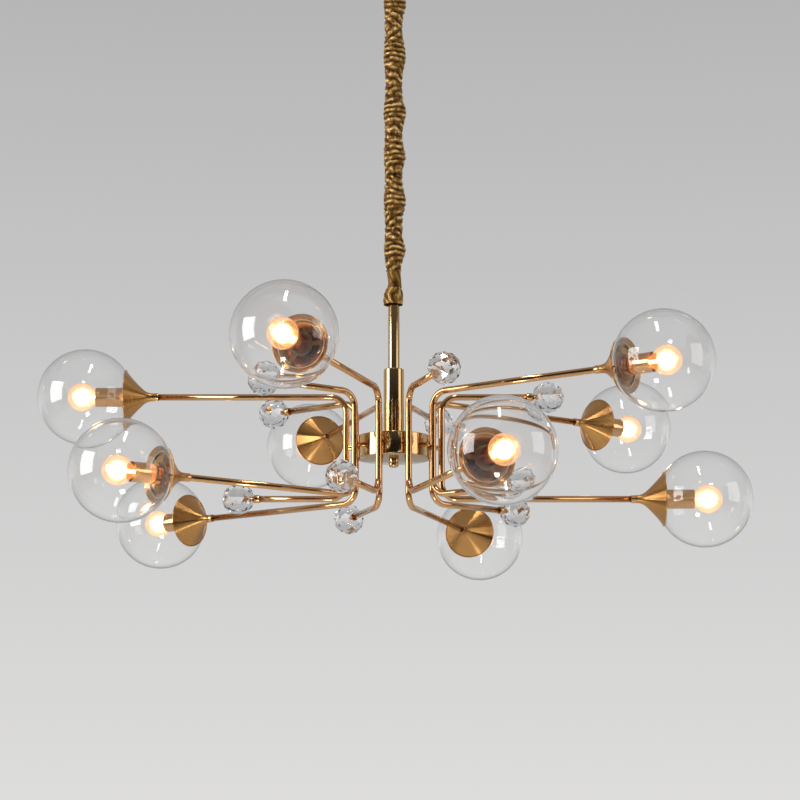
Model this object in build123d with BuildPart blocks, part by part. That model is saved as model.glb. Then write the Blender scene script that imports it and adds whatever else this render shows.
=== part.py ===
from build123d import *
from math import cos, hypot, pi, radians, sin, sqrt, tan
import os

os.makedirs("parts", exist_ok=True)

# A chain-hung chandelier: ten bent tubes stand round a drum, each with a glass globe at one end and
# a cut crystal ball at the other, turned over by turns. The ceiling is the plane z = 0, +Z is up.

# Clearances
fit = 0.05              # a turned piece in its bore
play = 0.3              # between pieces that move, hang or rest on each other

# Ceiling bracket and canopy
slot_spacing = 92       # ceiling screws, centre to centre
slot_len = 12
slot_w = 5
slot_margin = 4         # metal beyond each slot
bracket_w = 24
bracket_t = 2
bracket_drop = 12       # the middle of the bracket hangs below the ceiling
bend_margin = 1         # between a slot and the bend beside it
bracket_gap = 1.5       # between the bracket's corners and the canopy
canopy_h = 28
canopy_wall = 1.2
canopy_edge = 8         # rounding of the lower edge
canopy_stud_d = 4
canopy_stud_head_d = 7
canopy_stud_head_h = 2.5
canopy_stud_margin = 6  # from a stud to the bend of the bracket
canopy_nut_d = 9
canopy_nut_h = 8
canopy_nut_roof = 2     # closed end of the domed nut
terminal_l = 26
terminal_w = 16
terminal_h = 12
terminal_gap = 4        # beside the bracket

# Hanging loops and chain
shank_d = 10            # threaded shank of the canopy loop
shank_nut_af = 14
shank_nut_h = 5
shank_end = 2           # thread beyond the nut
cable_bore = 6
loop_collar_d = 20
loop_collar_h = 6
loop_bore = 14
loop_wire = 4
link_wire = 3
link_len = 24           # inside length of a link
link_w = 8              # inside width of a link
chain_len = 545         # from the first link to the last one
cable_d = 4
cable_ease = 0.9        # between the cable and the links

# Gathered fabric sleeve over the chain
sleeve_wall = 1.2
link_swing = 1.2        # room for the last link to swing in the tied neck
sleeve_gap = 6          # below the canopy loop
sleeve_overlap = 2      # over the top of the stem
sleeve_hem_r = 16
bell_h = 34
tie_h = 20
gather_count = 7
gather_folds = 4
gather_neck_r = 12
gather_full_r = 16.6
fold_rise = 2.4

# Stem
stem_d = 18
stem_wall = 1.2
stem_len = 212
collar_d = 32
collar_wall = 1.5
collar_len = 107
collar_cap = 4
collar_chamfer = 1.5
rod_d = 10
rod_in_loop = 4.2
rod_in_finial = 6

# Hub
hub_d = 114
hub_h = 35
hub_wall = 1.5
hub_edge = 1
base_t = 1.5
base_edge = 0.5
finial_d = 15.5
finial_h = 13
finial_round = 4        # rounding of its lower edge
finial_foot = 5         # from the base plate to the groove
finial_groove_w = 1
finial_groove_d = 1.2
connector_l = 26
connector_w = 18
connector_h = 12

# Arms
arm_count = 10
arm_rise = 160          # between the two legs of an arm, centre to centre
tube_d = 10
tube_wall = 1
tube_bend = 24
arm_stud_d = 8
arm_stud_show = 12      # stud seen between the drum and an arm
arm_stud_end = 2        # thread beyond the nut
arm_nut_af = 12
arm_nut_h = 4
lead_d = 5.6
lead_ease = 0.2

# Glass globes and their cups
globe_ring_r = 480      # globe centres from the middle axis
globe_d = 150
globe_wall = 2
mouth_step = 7          # the mouth is this much narrower than the cup's rim
cup_rim_r = 42
cup_len = 41
cup_wall = 1.2
cup_turn_x = 0.34       # where the neck's curve ends, as a share of the length
cup_turn_r = 0.15       # and of the flare
nipple_d = 10
head_collar_wall = 1.2
tube_in_collar = 5
nipple_in_collar = 4
clip_t = 0.8
clip_lift = 1.2         # from the mouth of the globe to the clip
clip_rim = 3
clip_arm_w = 6
clip_arms = 3

# Lampholders and lamps
holder_d = 30
holder_wall = 0.8
holder_back = 17.8      # behind the cup's rim
holder_front = 17       # beyond the socket
socket_len = 47
socket_depth = 16.5
lamp_d = 45
lamp_len = 78
lamp_wall = 0.8
lamp_cap_d = 14
lamp_cap_len = 17.5
lamp_tip_d = 9
lamp_tip_h = 2
core_d = 31             # lit ball in the lamp
core_stalk_d = 6

# Crystal balls
crystal_ring_r = 240
crystal_d = 50
crystal_facets = 12     # round the middle
crystal_pin_d = 6
crystal_pin_len = 12
crystal_collar_wall = 1.2
crystal_collar_web = 4  # closed end between the tube and the crystal

# Ceiling bracket: a strip with a dropped middle and a slot at each end
strip_bend = bracket_t * tan(pi / 8)
strip_half = slot_spacing / 2 + slot_len / 2 + slot_margin
strip_flat = slot_spacing / 2 - slot_len / 2 - bend_margin - strip_bend - bracket_drop
canopy_stud_x = strip_flat - canopy_stud_margin
canopy_r = hypot(strip_half, bracket_w / 2) + bracket_gap + canopy_wall
canopy_stud_r = canopy_stud_d / 2
shank_r = shank_d / 2

with BuildPart() as ceiling_bracket:
    with BuildSketch(Plane.XZ):
        with BuildLine():
            Polyline(
                (0, -bracket_drop),
                (strip_flat, -bracket_drop),
                (strip_flat + bracket_drop, 0),
                (strip_half, 0),
                (strip_half, -bracket_t),
                (strip_flat + bracket_drop + strip_bend, -bracket_t),
                (strip_flat + strip_bend, -bracket_drop - bracket_t),
                (0, -bracket_drop - bracket_t),
                close=True,
            )
        make_face()
        mirror(about=Plane.YZ)
    extrude(amount=bracket_w / 2, both=True)
    with BuildSketch(Plane.XY):
        with GridLocations(slot_spacing, 0, 2, 1):
            SlotOverall(slot_len, slot_w)
    extrude(amount=-bracket_t, mode=Mode.SUBTRACT)
    with BuildSketch(Plane.XY.offset(-bracket_drop)):
        Circle(shank_r + fit)
        with GridLocations(2 * canopy_stud_x, 0, 2, 1):
            Circle(canopy_stud_r + fit)
    extrude(amount=-bracket_t, mode=Mode.SUBTRACT)
ceiling_bracket.part.label = "ceiling_bracket"
export_step(ceiling_bracket.part, "parts/ceiling_bracket.step")

# Canopy: a turned bowl that covers the bracket
with BuildPart() as ceiling_canopy:
    with BuildSketch(Plane.XY.offset(-canopy_h)):
        Circle(canopy_r)
    extrude(amount=canopy_h)
    fillet(ceiling_canopy.edges().group_by(Axis.Z)[0], canopy_edge)
    offset(amount=-canopy_wall, openings=ceiling_canopy.faces().sort_by(Axis.Z)[-1])
    with BuildSketch(Plane.XY.offset(-canopy_h)):
        Circle(shank_r + fit)
        with GridLocations(2 * canopy_stud_x, 0, 2, 1):
            Circle(canopy_stud_r + fit)
    extrude(amount=canopy_wall, mode=Mode.SUBTRACT)
ceiling_canopy.part.label = "ceiling_canopy"
export_step(ceiling_canopy.part, "parts/ceiling_canopy.step")

# Headed studs through the bracket and domed nuts under the canopy
with BuildPart() as canopy_studs:
    with BuildSketch(Plane.XY.offset(-bracket_drop)):
        with GridLocations(2 * canopy_stud_x, 0, 2, 1):
            Circle(canopy_stud_head_d / 2)
    extrude(amount=canopy_stud_head_h)
    with BuildSketch(Plane.XY.offset(-bracket_drop)):
        with GridLocations(2 * canopy_stud_x, 0, 2, 1):
            Circle(canopy_stud_r)
    extrude(amount=bracket_drop - canopy_h - canopy_nut_h + canopy_nut_roof)
canopy_studs.part.label = "canopy_studs"
export_step(canopy_studs.part, "parts/canopy_studs.step")

canopy_nut_r = canopy_nut_d / 2
with BuildPart() as domed_nut:
    with BuildSketch(Plane.XZ):
        with BuildLine():
            side = Line((canopy_nut_r, -canopy_h), (canopy_nut_r, -canopy_h - canopy_nut_h + canopy_nut_r))
            RadiusArc(side @ 1, (0, -canopy_h - canopy_nut_h), canopy_nut_r)
            Line((0, -canopy_h - canopy_nut_h), (0, -canopy_h))
            Line((0, -canopy_h), side @ 0)
        make_face()
    revolve(axis=Axis.Z)
    with BuildSketch(Plane.XY.offset(-canopy_h)):
        Circle(canopy_stud_r + fit)
    extrude(amount=canopy_nut_roof - canopy_nut_h - fit, mode=Mode.SUBTRACT)
with BuildPart() as canopy_nuts:
    with GridLocations(2 * canopy_stud_x, 0, 2, 1):
        add(domed_nut.part)
canopy_nuts.part.label = "canopy_nuts"
export_step(canopy_nuts.part, "parts/canopy_nuts.step")

# Canopy loop: a hollow shank through the canopy and the bracket, with the ring below it
loop_r = loop_bore / 2
loop_mid_r = loop_r + loop_wire / 2
loop_z = -canopy_h - loop_collar_h - loop_r
with BuildPart() as canopy_loop:
    with BuildSketch(Plane.XY.offset(-canopy_h)):
        Circle(shank_r)
    extrude(amount=canopy_h - bracket_drop + shank_nut_h + shank_end)
    with BuildSketch(Plane.XY.offset(-canopy_h)):
        Circle(loop_collar_d / 2)
    extrude(amount=-loop_collar_h)
    with Locations((0, 0, loop_z)):
        Torus(loop_mid_r, loop_wire / 2, rotation=(90, 0, 0))
    with BuildSketch(Plane.XY.offset(loop_z + loop_r)):
        Circle(cable_bore / 2)
    extrude(amount=-loop_z, mode=Mode.SUBTRACT)
canopy_loop.part.label = "canopy_loop"
export_step(canopy_loop.part, "parts/canopy_loop.step")

with BuildPart() as canopy_loop_nut:
    with BuildSketch(Plane.XY.offset(-bracket_drop)):
        RegularPolygon(shank_nut_af / 2, 6, major_radius=False)
        Circle(shank_r + fit, mode=Mode.SUBTRACT)
    extrude(amount=shank_nut_h)
canopy_loop_nut.part.label = "canopy_loop_nut"
export_step(canopy_loop_nut.part, "parts/canopy_loop_nut.step")

# Terminal block on the floor of the canopy, beside the bracket
terminal_y = bracket_w / 2 + terminal_gap + terminal_w / 2
with BuildPart() as terminal_block:
    with BuildSketch(Plane.XY.offset(canopy_wall - canopy_h)):
        with Locations((0, terminal_y)):
            Rectangle(terminal_l, terminal_w)
    extrude(amount=terminal_h)
    chamfer(terminal_block.edges().group_by(Axis.Z)[-1], 1)
terminal_block.part.label = "terminal_block"
export_step(terminal_block.part, "parts/terminal_block.step")

# Chain: round links that hang in one another, each a quarter turn from the next
link_r = link_wire / 2
link_mid_r = link_w / 2 + link_r
link_side = link_len / 2 - link_w / 2
link_pitch = link_len - play
chain_count = round(chain_len / link_pitch)
hook_z = loop_z - loop_r
last_link = chain_count + 1


def link_top(number):
    # inside top of a link, counted down from the canopy loop
    return hook_z + play - number * link_pitch


def link_place(number):
    # links with an even number lie across the ring of the canopy loop
    return Pos(0, 0, link_top(number) - link_len / 2) * Rot(0, 0, 90 - 90 * (number % 2))


with BuildPart() as link:
    with BuildLine(Plane.XZ):
        Line((link_mid_r, 0), (link_mid_r, link_side))
        ThreePointArc((link_mid_r, link_side), (0, link_side + link_mid_r), (-link_mid_r, link_side))
        Line((-link_mid_r, link_side), (-link_mid_r, 0))
    with BuildSketch(Plane.XY):
        with Locations((link_mid_r, 0)):
            Circle(link_r)
    sweep()
    mirror(about=Plane.XY)

with BuildPart() as top_link:
    with Locations(link_place(0)):
        add(link.part)
top_link.part.label = "top_link"
export_step(top_link.part, "parts/top_link.step")

with BuildPart() as chain_links:
    with Locations(*[link_place(number) for number in range(1, last_link)]):
        add(link.part)
chain_links.part.label = "chain_links"
export_step(chain_links.part, "parts/chain_links.step")

with BuildPart() as bottom_link:
    with Locations(link_place(last_link)):
        add(link.part)
bottom_link.part.label = "bottom_link"
export_step(bottom_link.part, "parts/bottom_link.step")

# Supply cable beside the chain, in the corner between the two planes of its links
cable_off = link_r + cable_ease + cable_d / 2
cable_top = link_top(0) - link_len - link_wire - play
cable_end = link_top(last_link) + link_wire + play
with BuildPart() as supply_cable:
    with BuildSketch(Plane.XY.offset(cable_end)):
        with Locations((cable_off, cable_off)):
            Circle(cable_d / 2)
    extrude(amount=cable_top - cable_end)
supply_cable.part.label = "supply_cable"
export_step(supply_cable.part, "parts/supply_cable.step")

# Stem loop: a ring on the last link, on a collar that turns on the end of the tie rod
rod_r = rod_d / 2
stem_r = stem_d / 2
ring_z = link_top(last_link) - link_len + play - loop_r
ring_base = ring_z - loop_r - loop_collar_h
stem_top = ring_base - play
with BuildPart() as stem_loop:
    with BuildSketch(Plane.XY.offset(ring_base)):
        Circle(stem_r)
    extrude(amount=loop_collar_h)
    with Locations((0, 0, ring_z)):
        Torus(loop_mid_r, loop_wire / 2, rotation=(90, 0, 90 * (last_link % 2)))
    with BuildSketch(Plane.XY.offset(ring_base)):
        Circle(rod_r + fit)
    extrude(amount=rod_in_loop, mode=Mode.SUBTRACT)
    with BuildSketch(Plane.XY.offset(ring_base)):
        Circle(cable_bore / 2)
    extrude(amount=loop_collar_h, mode=Mode.SUBTRACT)
stem_loop.part.label = "stem_loop"
export_step(stem_loop.part, "parts/stem_loop.step")

# Sleeve: a bell over the stem loop, a tied neck, then gathers whose folds swell between their necks
sleeve_end = stem_top - sleeve_overlap
sleeve_top = hook_z - loop_wire - sleeve_gap
tie_in = max(cable_off * sqrt(2) + cable_d / 2 + play, link_mid_r + link_r + link_swing)
tie_r = tie_in + sleeve_wall
tie_z = sleeve_end + bell_h
gather_z = tie_z + tie_h
gather_pitch = (sleeve_top - gather_z) / gather_count
fold_pitch = gather_pitch / gather_folds


def valley(fold):
    # a fold's valley: radius of the gather at that height, and the height
    share = (fold % gather_folds) / gather_folds
    swell = (gather_full_r - gather_neck_r) * sqrt(sin(pi * share))
    return gather_neck_r + swell, gather_z + fold * fold_pitch


def crest(fold):
    # the outermost line of a fold, between two valleys
    low_r, low_z = valley(fold)
    high_r, high_z = valley(fold + 1)
    return (low_r + high_r) / 2 + fold_rise, (low_z + high_z) / 2


fold_count = gather_count * gather_folds
hem_in = sleeve_hem_r - sleeve_wall
with BuildPart() as chain_sleeve:
    with BuildSketch(Plane.XZ):
        with BuildLine():
            ThreePointArc(
                (sleeve_hem_r, sleeve_end),
                ((sleeve_hem_r + tie_r) / 2 + fold_rise, (sleeve_end + tie_z) / 2),
                (tie_r, tie_z),
            )
            Polyline((tie_r, tie_z), (tie_r, gather_z - fold_rise), valley(0))
            for fold in range(fold_count):
                ThreePointArc(valley(fold), crest(fold), valley(fold + 1))
            inside = [(gather_neck_r - sleeve_wall, sleeve_top)]
            for gather in reversed(range(gather_count)):
                full_z = gather_z + (gather + 0.5) * gather_pitch
                inside.append((gather_full_r - sleeve_wall, full_z))
                inside.append((gather_neck_r - sleeve_wall, full_z - gather_pitch / 2))
            Polyline(valley(fold_count), *inside, (tie_in, gather_z - fold_rise), (tie_in, tie_z))
            ThreePointArc(
                (tie_in, tie_z),
                ((hem_in + tie_in) / 2 + fold_rise, (sleeve_end + tie_z) / 2),
                (hem_in, sleeve_end),
            )
            Line((hem_in, sleeve_end), (sleeve_hem_r, sleeve_end))
        make_face()
    revolve(axis=Axis.Z)
chain_sleeve.part.label = "chain_sleeve"
export_step(chain_sleeve.part, "parts/chain_sleeve.step")

# Stem tube on the drum, and the thick collar round its foot
hub_r = hub_d / 2
collar_r = collar_d / 2
drum_top = stem_top - stem_len
hub_z = drum_top - hub_h / 2
base_top = drum_top - hub_h + base_t
base_z = drum_top - hub_h
with BuildPart() as stem_tube:
    with BuildSketch(Plane.XY.offset(drum_top)):
        Circle(stem_r)
        Circle(stem_r - stem_wall, mode=Mode.SUBTRACT)
    extrude(amount=stem_len)
stem_tube.part.label = "stem_tube"
export_step(stem_tube.part, "parts/stem_tube.step")

with BuildPart() as stem_collar:
    with BuildSketch(Plane.XY.offset(drum_top)):
        Circle(collar_r)
    extrude(amount=collar_len)
    chamfer(stem_collar.edges().group_by(Axis.Z)[-1], collar_chamfer)
    with BuildSketch(Plane.XY.offset(drum_top)):
        Circle(collar_r - collar_wall)
    extrude(amount=collar_len - collar_cap, mode=Mode.SUBTRACT)
    with BuildSketch(Plane.XY.offset(drum_top)):
        Circle(stem_r + fit)
    extrude(amount=collar_len, mode=Mode.SUBTRACT)
stem_collar.part.label = "stem_collar"
export_step(stem_collar.part, "parts/stem_collar.step")

# Hollow tie rod from the stem loop to the finial, open on two sides inside the drum
rod_end = base_z - rod_in_finial
with BuildPart() as tie_rod:
    with BuildSketch(Plane.XY.offset(rod_end)):
        Circle(rod_r)
        Circle(cable_bore / 2, mode=Mode.SUBTRACT)
    extrude(amount=ring_base + rod_in_loop - play - rod_end)
    with BuildSketch(Plane.YZ):
        with Locations((0, hub_z)):
            SlotOverall(2 * cable_bore, cable_bore, rotation=90)
    extrude(amount=rod_r, both=True, mode=Mode.SUBTRACT)
tie_rod.part.label = "tie_rod"
export_step(tie_rod.part, "parts/tie_rod.step")

# Hub drum, open below, with a hole for each arm's stud
arm_step = 360 / arm_count
stud_r = arm_stud_d / 2
with BuildPart() as hub_drum:
    with BuildSketch(Plane.XY.offset(base_top)):
        Circle(hub_r)
    extrude(amount=drum_top - base_top)
    fillet(hub_drum.edges().group_by(Axis.Z)[-1], hub_edge)
    with BuildSketch(Plane.XY.offset(base_top)):
        Circle(hub_r - hub_wall)
    extrude(amount=drum_top - base_top - hub_wall, mode=Mode.SUBTRACT)
    with BuildSketch(Plane.XY.offset(base_top)):
        Circle(rod_r + fit)
    extrude(amount=hub_h, mode=Mode.SUBTRACT)
    with Locations((0, 0, hub_z)):
        with PolarLocations(hub_r, arm_count):
            Cylinder(stud_r + fit, 4 * hub_wall, rotation=(0, 90, 0), mode=Mode.SUBTRACT)
hub_drum.part.label = "hub_drum"
export_step(hub_drum.part, "parts/hub_drum.step")

with BuildPart() as hub_base:
    with BuildSketch(Plane.XY.offset(base_z)):
        Circle(hub_r)
        Circle(rod_r + fit, mode=Mode.SUBTRACT)
    extrude(amount=base_t)
    lower_edges = hub_base.edges().group_by(Axis.Z)[0]
    fillet(lower_edges.sort_by(SortBy.RADIUS)[-1], base_edge)
hub_base.part.label = "hub_base"
export_step(hub_base.part, "parts/hub_base.step")

# Finial: a rounded nut on the end of the tie rod, with a turned groove
finial_r = finial_d / 2
with BuildPart() as hub_finial:
    with BuildSketch(Plane.XY.offset(base_z)):
        Circle(finial_r)
    extrude(amount=-finial_h)
    fillet(hub_finial.edges().group_by(Axis.Z)[0], finial_round)
    with BuildSketch(Plane.XY.offset(base_z - finial_foot)):
        Circle(finial_r)
        Circle(finial_r - finial_groove_d, mode=Mode.SUBTRACT)
    extrude(amount=-finial_groove_w, mode=Mode.SUBTRACT)
    with BuildSketch(Plane.XY.offset(base_z)):
        Circle(rod_r + fit)
    extrude(amount=-rod_in_finial - fit, mode=Mode.SUBTRACT)
hub_finial.part.label = "hub_finial"
export_step(hub_finial.part, "parts/hub_finial.step")

with BuildPart() as wire_connector:
    with BuildSketch(Plane.XY.offset(base_top)):
        with Locations((hub_r / 2, 0)):
            Rectangle(connector_l, connector_w)
    extrude(amount=connector_h)
    chamfer(wire_connector.edges().group_by(Axis.Z)[-1], 1)
wire_connector.part.label = "wire_connector"
export_step(wire_connector.part, "parts/wire_connector.step")

# What follows is drawn once, for the arm along +X with its globe above, at the height of the hub's
# middle. Each arm place turns it round the hub, and over for every other arm.
tube_r = tube_d / 2
nipple_r = nipple_d / 2
head_z = arm_rise / 2
arm_r = hub_r + arm_stud_show + tube_r
globe_r = globe_d / 2
arm_places = []
for number in range(arm_count):
    flip = 180 - 180 * (number % 2)
    arm_places.append(Pos(0, 0, hub_z) * Rot(0, 0, number * arm_step) * Rot(flip, 0, 0))

# The cup's rim lies on the globe, and everything on the arm's end is placed from that rim
rim_in = cup_rim_r - cup_wall * sqrt(2)
rim_x = globe_ring_r - sqrt((globe_r + play) ** 2 - rim_in ** 2)
neck_x = rim_x - cup_len
globe_end = neck_x - nipple_in_collar
mouth_r = rim_in - mouth_step
mouth_x = globe_ring_r - sqrt(globe_r ** 2 - mouth_r ** 2)
crystal_in = crystal_d / 2 * cos(pi / crystal_facets)
crystal_x = crystal_ring_r - crystal_in
crystal_end = crystal_x - crystal_collar_web
head_plane = Plane((0, 0, head_z), x_dir=(1, 0, 0), z_dir=(0, -1, 0))
head_axis = Axis((0, 0, head_z), (1, 0, 0))
foot_plane = Plane((0, 0, -head_z), x_dir=(1, 0, 0), z_dir=(0, -1, 0))
foot_axis = Axis((0, 0, -head_z), (1, 0, 0))

# Arm: a tube with two bends, and a hole for the lead where it meets its stud
lead_bore = lead_d / 2 + lead_ease
with BuildPart() as arm:
    with BuildLine(Plane.XZ):
        FilletPolyline(
            (globe_end, head_z),
            (arm_r, head_z),
            (arm_r, -head_z),
            (crystal_end, -head_z),
            radius=tube_bend,
        )
    with BuildSketch(Plane.YZ.offset(globe_end)):
        with Locations((0, head_z)):
            Circle(tube_r)
            Circle(tube_r - tube_wall, mode=Mode.SUBTRACT)
    sweep()
    with BuildSketch(Plane.YZ.offset(arm_r - tube_r)):
        Circle(lead_bore)
    extrude(amount=tube_r, mode=Mode.SUBTRACT)

# Lead from the stud to the lampholder, through the arm and the nipple
with BuildPart() as lead:
    with BuildLine(Plane.XZ):
        FilletPolyline((arm_r, 0), (arm_r, head_z), (rim_x - holder_back, head_z), radius=tube_bend)
    with BuildSketch(Plane.XY):
        with Locations((arm_r, 0)):
            Circle(lead_d / 2)
    sweep()
with BuildPart() as arm_leads:
    with Locations(*arm_places):
        add(lead.part)
arm_leads.part.label = "arm_leads"
export_step(arm_leads.part, "parts/arm_leads.step")

# Hollow stud from the drum to the arm, cut to the round of the tube, and its nut inside the drum
nut_corner = arm_nut_af / 2 / cos(pi / 6)
nut_seat = sqrt((hub_r - hub_wall) ** 2 - nut_corner ** 2) - fit
stud_start = nut_seat - arm_nut_h - arm_stud_end
with BuildPart() as stud:
    with BuildSketch(Plane.YZ.offset(stud_start)):
        Circle(stud_r)
        Circle(lead_bore, mode=Mode.SUBTRACT)
    extrude(amount=arm_r - stud_start)
    with Locations((arm_r, 0, 0)):
        Cylinder(tube_r + fit, 3 * arm_stud_d, mode=Mode.SUBTRACT)
with BuildPart() as arm_studs:
    with Locations(*arm_places):
        add(stud.part)
arm_studs.part.label = "arm_studs"
export_step(arm_studs.part, "parts/arm_studs.step")

with BuildPart() as nut:
    with BuildSketch(Plane.YZ.offset(nut_seat)):
        RegularPolygon(arm_nut_af / 2, 6, major_radius=False)
        Circle(stud_r + fit, mode=Mode.SUBTRACT)
    extrude(amount=-arm_nut_h)
with BuildPart() as stud_nuts:
    with Locations(*arm_places):
        add(nut.part)
stud_nuts.part.label = "stud_nuts"
export_step(stud_nuts.part, "parts/stud_nuts.step")

# Collar that joins the arm's end to the nipple of the lampholder
head_collar_r = max(tube_r, nipple_r) + fit + head_collar_wall
with BuildPart() as head_collar:
    with BuildSketch(Plane.YZ.offset(globe_end - tube_in_collar)):
        with Locations((0, head_z)):
            Circle(head_collar_r)
            Circle(tube_r + fit, mode=Mode.SUBTRACT)
    extrude(amount=tube_in_collar)
    with BuildSketch(Plane.YZ.offset(globe_end)):
        with Locations((0, head_z)):
            Circle(head_collar_r)
            Circle(nipple_r + fit, mode=Mode.SUBTRACT)
    extrude(amount=nipple_in_collar)
with BuildPart() as head_collars:
    with Locations(*arm_places):
        add(head_collar.part)
head_collars.part.label = "head_collars"
export_step(head_collars.part, "parts/head_collars.step")

# Trumpet cup: a thin turned flare from the neck to the rim under the globe
cup_neck_r = nipple_r + fit + cup_wall
cup_turn = (rim_x - (1 - cup_turn_x) * cup_len, cup_neck_r + cup_turn_r * (cup_rim_r - cup_neck_r))
with BuildPart() as cup:
    with BuildSketch(head_plane):
        with BuildLine():
            neck_curve = TangentArc((neck_x, cup_neck_r), cup_turn, tangent=(1, 0))
            TangentArc(cup_turn, (rim_x, cup_rim_r), tangent=neck_curve % 1)
            offset(amount=cup_wall, side=Side.RIGHT)
        make_face()
    revolve(axis=head_axis)
with BuildPart() as cups:
    with Locations(*arm_places):
        add(cup.part)
cups.part.label = "cups"
export_step(cups.part, "parts/cups.step")

# Glass globe with its mouth inside the cup
with BuildPart() as globe:
    with Locations((globe_ring_r, 0, head_z)):
        Sphere(globe_r)
        Sphere(globe_r - globe_wall, mode=Mode.SUBTRACT)
    split(bisect_by=Plane.YZ.offset(mouth_x), keep=Keep.TOP)

# Spring clip on the lampholder: its arms hold the lip of the globe from inside
holder_r = holder_d / 2
clip_x = mouth_x + clip_lift
clip_reach = sqrt((globe_r - globe_wall) ** 2 - (globe_ring_r - clip_x) ** 2) - play
with BuildPart() as clip:
    with BuildSketch(Plane.YZ.offset(clip_x)):
        with Locations((0, head_z)):
            Circle(holder_r + fit + clip_rim)
            with PolarLocations(clip_reach / 2, clip_arms):
                Rectangle(clip_reach, clip_arm_w)
            Circle(clip_reach, mode=Mode.INTERSECT)
            Circle(holder_r + fit, mode=Mode.SUBTRACT)
    extrude(amount=clip_t)
with BuildPart() as globe_clips:
    with Locations(*arm_places):
        add(clip.part)
globe_clips.part.label = "globe_clips"
export_step(globe_clips.part, "parts/globe_clips.step")

# Metal sleeve round the lampholder
holder_x = rim_x - holder_back
holder_len = holder_wall + socket_len + holder_front
with BuildPart() as holder:
    with BuildSketch(Plane.YZ.offset(holder_x)):
        with Locations((0, head_z)):
            Circle(holder_r)
            Circle(nipple_r + fit, mode=Mode.SUBTRACT)
    extrude(amount=holder_wall)
    with BuildSketch(Plane.YZ.offset(holder_x)):
        with Locations((0, head_z)):
            Circle(holder_r)
            Circle(holder_r - holder_wall, mode=Mode.SUBTRACT)
    extrude(amount=holder_len)
with BuildPart() as holder_sleeves:
    with Locations(*arm_places):
        add(holder.part)
holder_sleeves.part.label = "holder_sleeves"
export_step(holder_sleeves.part, "parts/holder_sleeves.step")

# Screw socket in the sleeve, on a hollow nipple that reaches through the cup into the collar
socket_x = holder_x + holder_wall
socket_front = socket_x + socket_len
with BuildPart() as socket:
    with BuildSketch(Plane.YZ.offset(socket_x)):
        with Locations((0, head_z)):
            Circle(holder_r - holder_wall - fit)
    extrude(amount=socket_len)
    with BuildSketch(Plane.YZ.offset(globe_end)):
        with Locations((0, head_z)):
            Circle(nipple_r)
    extrude(amount=socket_x - globe_end)
    with BuildSketch(Plane.YZ.offset(globe_end)):
        with Locations((0, head_z)):
            Circle(lead_bore)
    extrude(amount=socket_x - globe_end, mode=Mode.SUBTRACT)
    with BuildSketch(Plane.YZ.offset(socket_front)):
        with Locations((0, head_z)):
            Circle(lamp_cap_d / 2 + play)
    extrude(amount=-socket_depth - play, mode=Mode.SUBTRACT)
with BuildPart() as lamp_sockets:
    with Locations(*arm_places):
        add(socket.part)
lamp_sockets.part.label = "lamp_sockets"
export_step(lamp_sockets.part, "parts/lamp_sockets.step")

# Lamp: a round glass envelope, a lit core and a screw cap
lamp_x = socket_front - socket_depth
lamp_r = lamp_d / 2
lamp_mid = lamp_x + lamp_len - lamp_r
glass_x = lamp_x + lamp_cap_len + fit
cap_r = lamp_cap_d / 2
tip_r = lamp_tip_d / 2
core_r = core_d / 2
stalk_r = core_stalk_d / 2
core_x = lamp_mid - sqrt(core_r ** 2 - stalk_r ** 2)


def shoulder(radius):
    # where the neck runs into the round of the lamp
    return lamp_mid - radius * cos(pi / 4), radius * sin(pi / 4)


with BuildPart() as lamp:
    with BuildSketch(head_plane):
        with BuildLine():
            TangentArc(shoulder(lamp_r), (glass_x, cap_r), tangent=(-1, -1))
            ThreePointArc(shoulder(lamp_r), (lamp_mid, lamp_r), (lamp_mid + lamp_r, 0))
            Line((lamp_mid + lamp_r, 0), (lamp_mid + lamp_r - lamp_wall, 0))
            ThreePointArc(
                shoulder(lamp_r - lamp_wall),
                (lamp_mid, lamp_r - lamp_wall),
                (lamp_mid + lamp_r - lamp_wall, 0),
            )
            TangentArc(shoulder(lamp_r - lamp_wall), (glass_x, cap_r - lamp_wall), tangent=(-1, -1))
            Line((glass_x, cap_r - lamp_wall), (glass_x, cap_r))
        make_face()
    revolve(axis=head_axis)
    with BuildSketch(head_plane):
        with BuildLine():
            Polyline(
                (lamp_x, 0),
                (lamp_x, tip_r),
                (lamp_x + lamp_tip_h, cap_r),
                (glass_x - fit, cap_r),
                (glass_x - fit, 0),
                close=True,
            )
        make_face()
    revolve(axis=head_axis)
    with BuildSketch(head_plane):
        with BuildLine():
            Polyline((lamp_mid + core_r, 0), (glass_x, 0), (glass_x, stalk_r), (core_x, stalk_r))
            ThreePointArc((core_x, stalk_r), (lamp_mid, core_r), (lamp_mid + core_r, 0))
        make_face()
    revolve(axis=head_axis)

# Crystal ball: flats round the middle, and rings of flats towards the two ends of its axis
facet_rings = [
    (0, 1, 0),
    (pi / 6, crystal_facets // 2, 0),
    (pi / 3, crystal_facets, 0.5),
    (pi / 2, crystal_facets, 0),
    (2 * pi / 3, crystal_facets, 0.5),
    (5 * pi / 6, crystal_facets // 2, 0),
    (pi, 1, 0),
]
crystal_mid = Vector(crystal_ring_r, 0, -head_z)
with BuildPart() as crystal:
    with Locations(crystal_mid):
        Sphere(crystal_d)
    for tilt, count, shift in facet_rings:
        for facet in range(count):
            turn = 2 * pi * (facet + shift) / count
            normal = Vector(-cos(tilt), sin(tilt) * cos(turn), sin(tilt) * sin(turn))
            split(bisect_by=Plane(crystal_mid + normal * crystal_in, z_dir=normal), keep=Keep.BOTTOM)
    with BuildSketch(Plane.YZ.offset(crystal_x)):
        with Locations((0, -head_z)):
            Circle(crystal_pin_d / 2 + fit)
    extrude(amount=crystal_pin_len + fit, mode=Mode.SUBTRACT)
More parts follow.
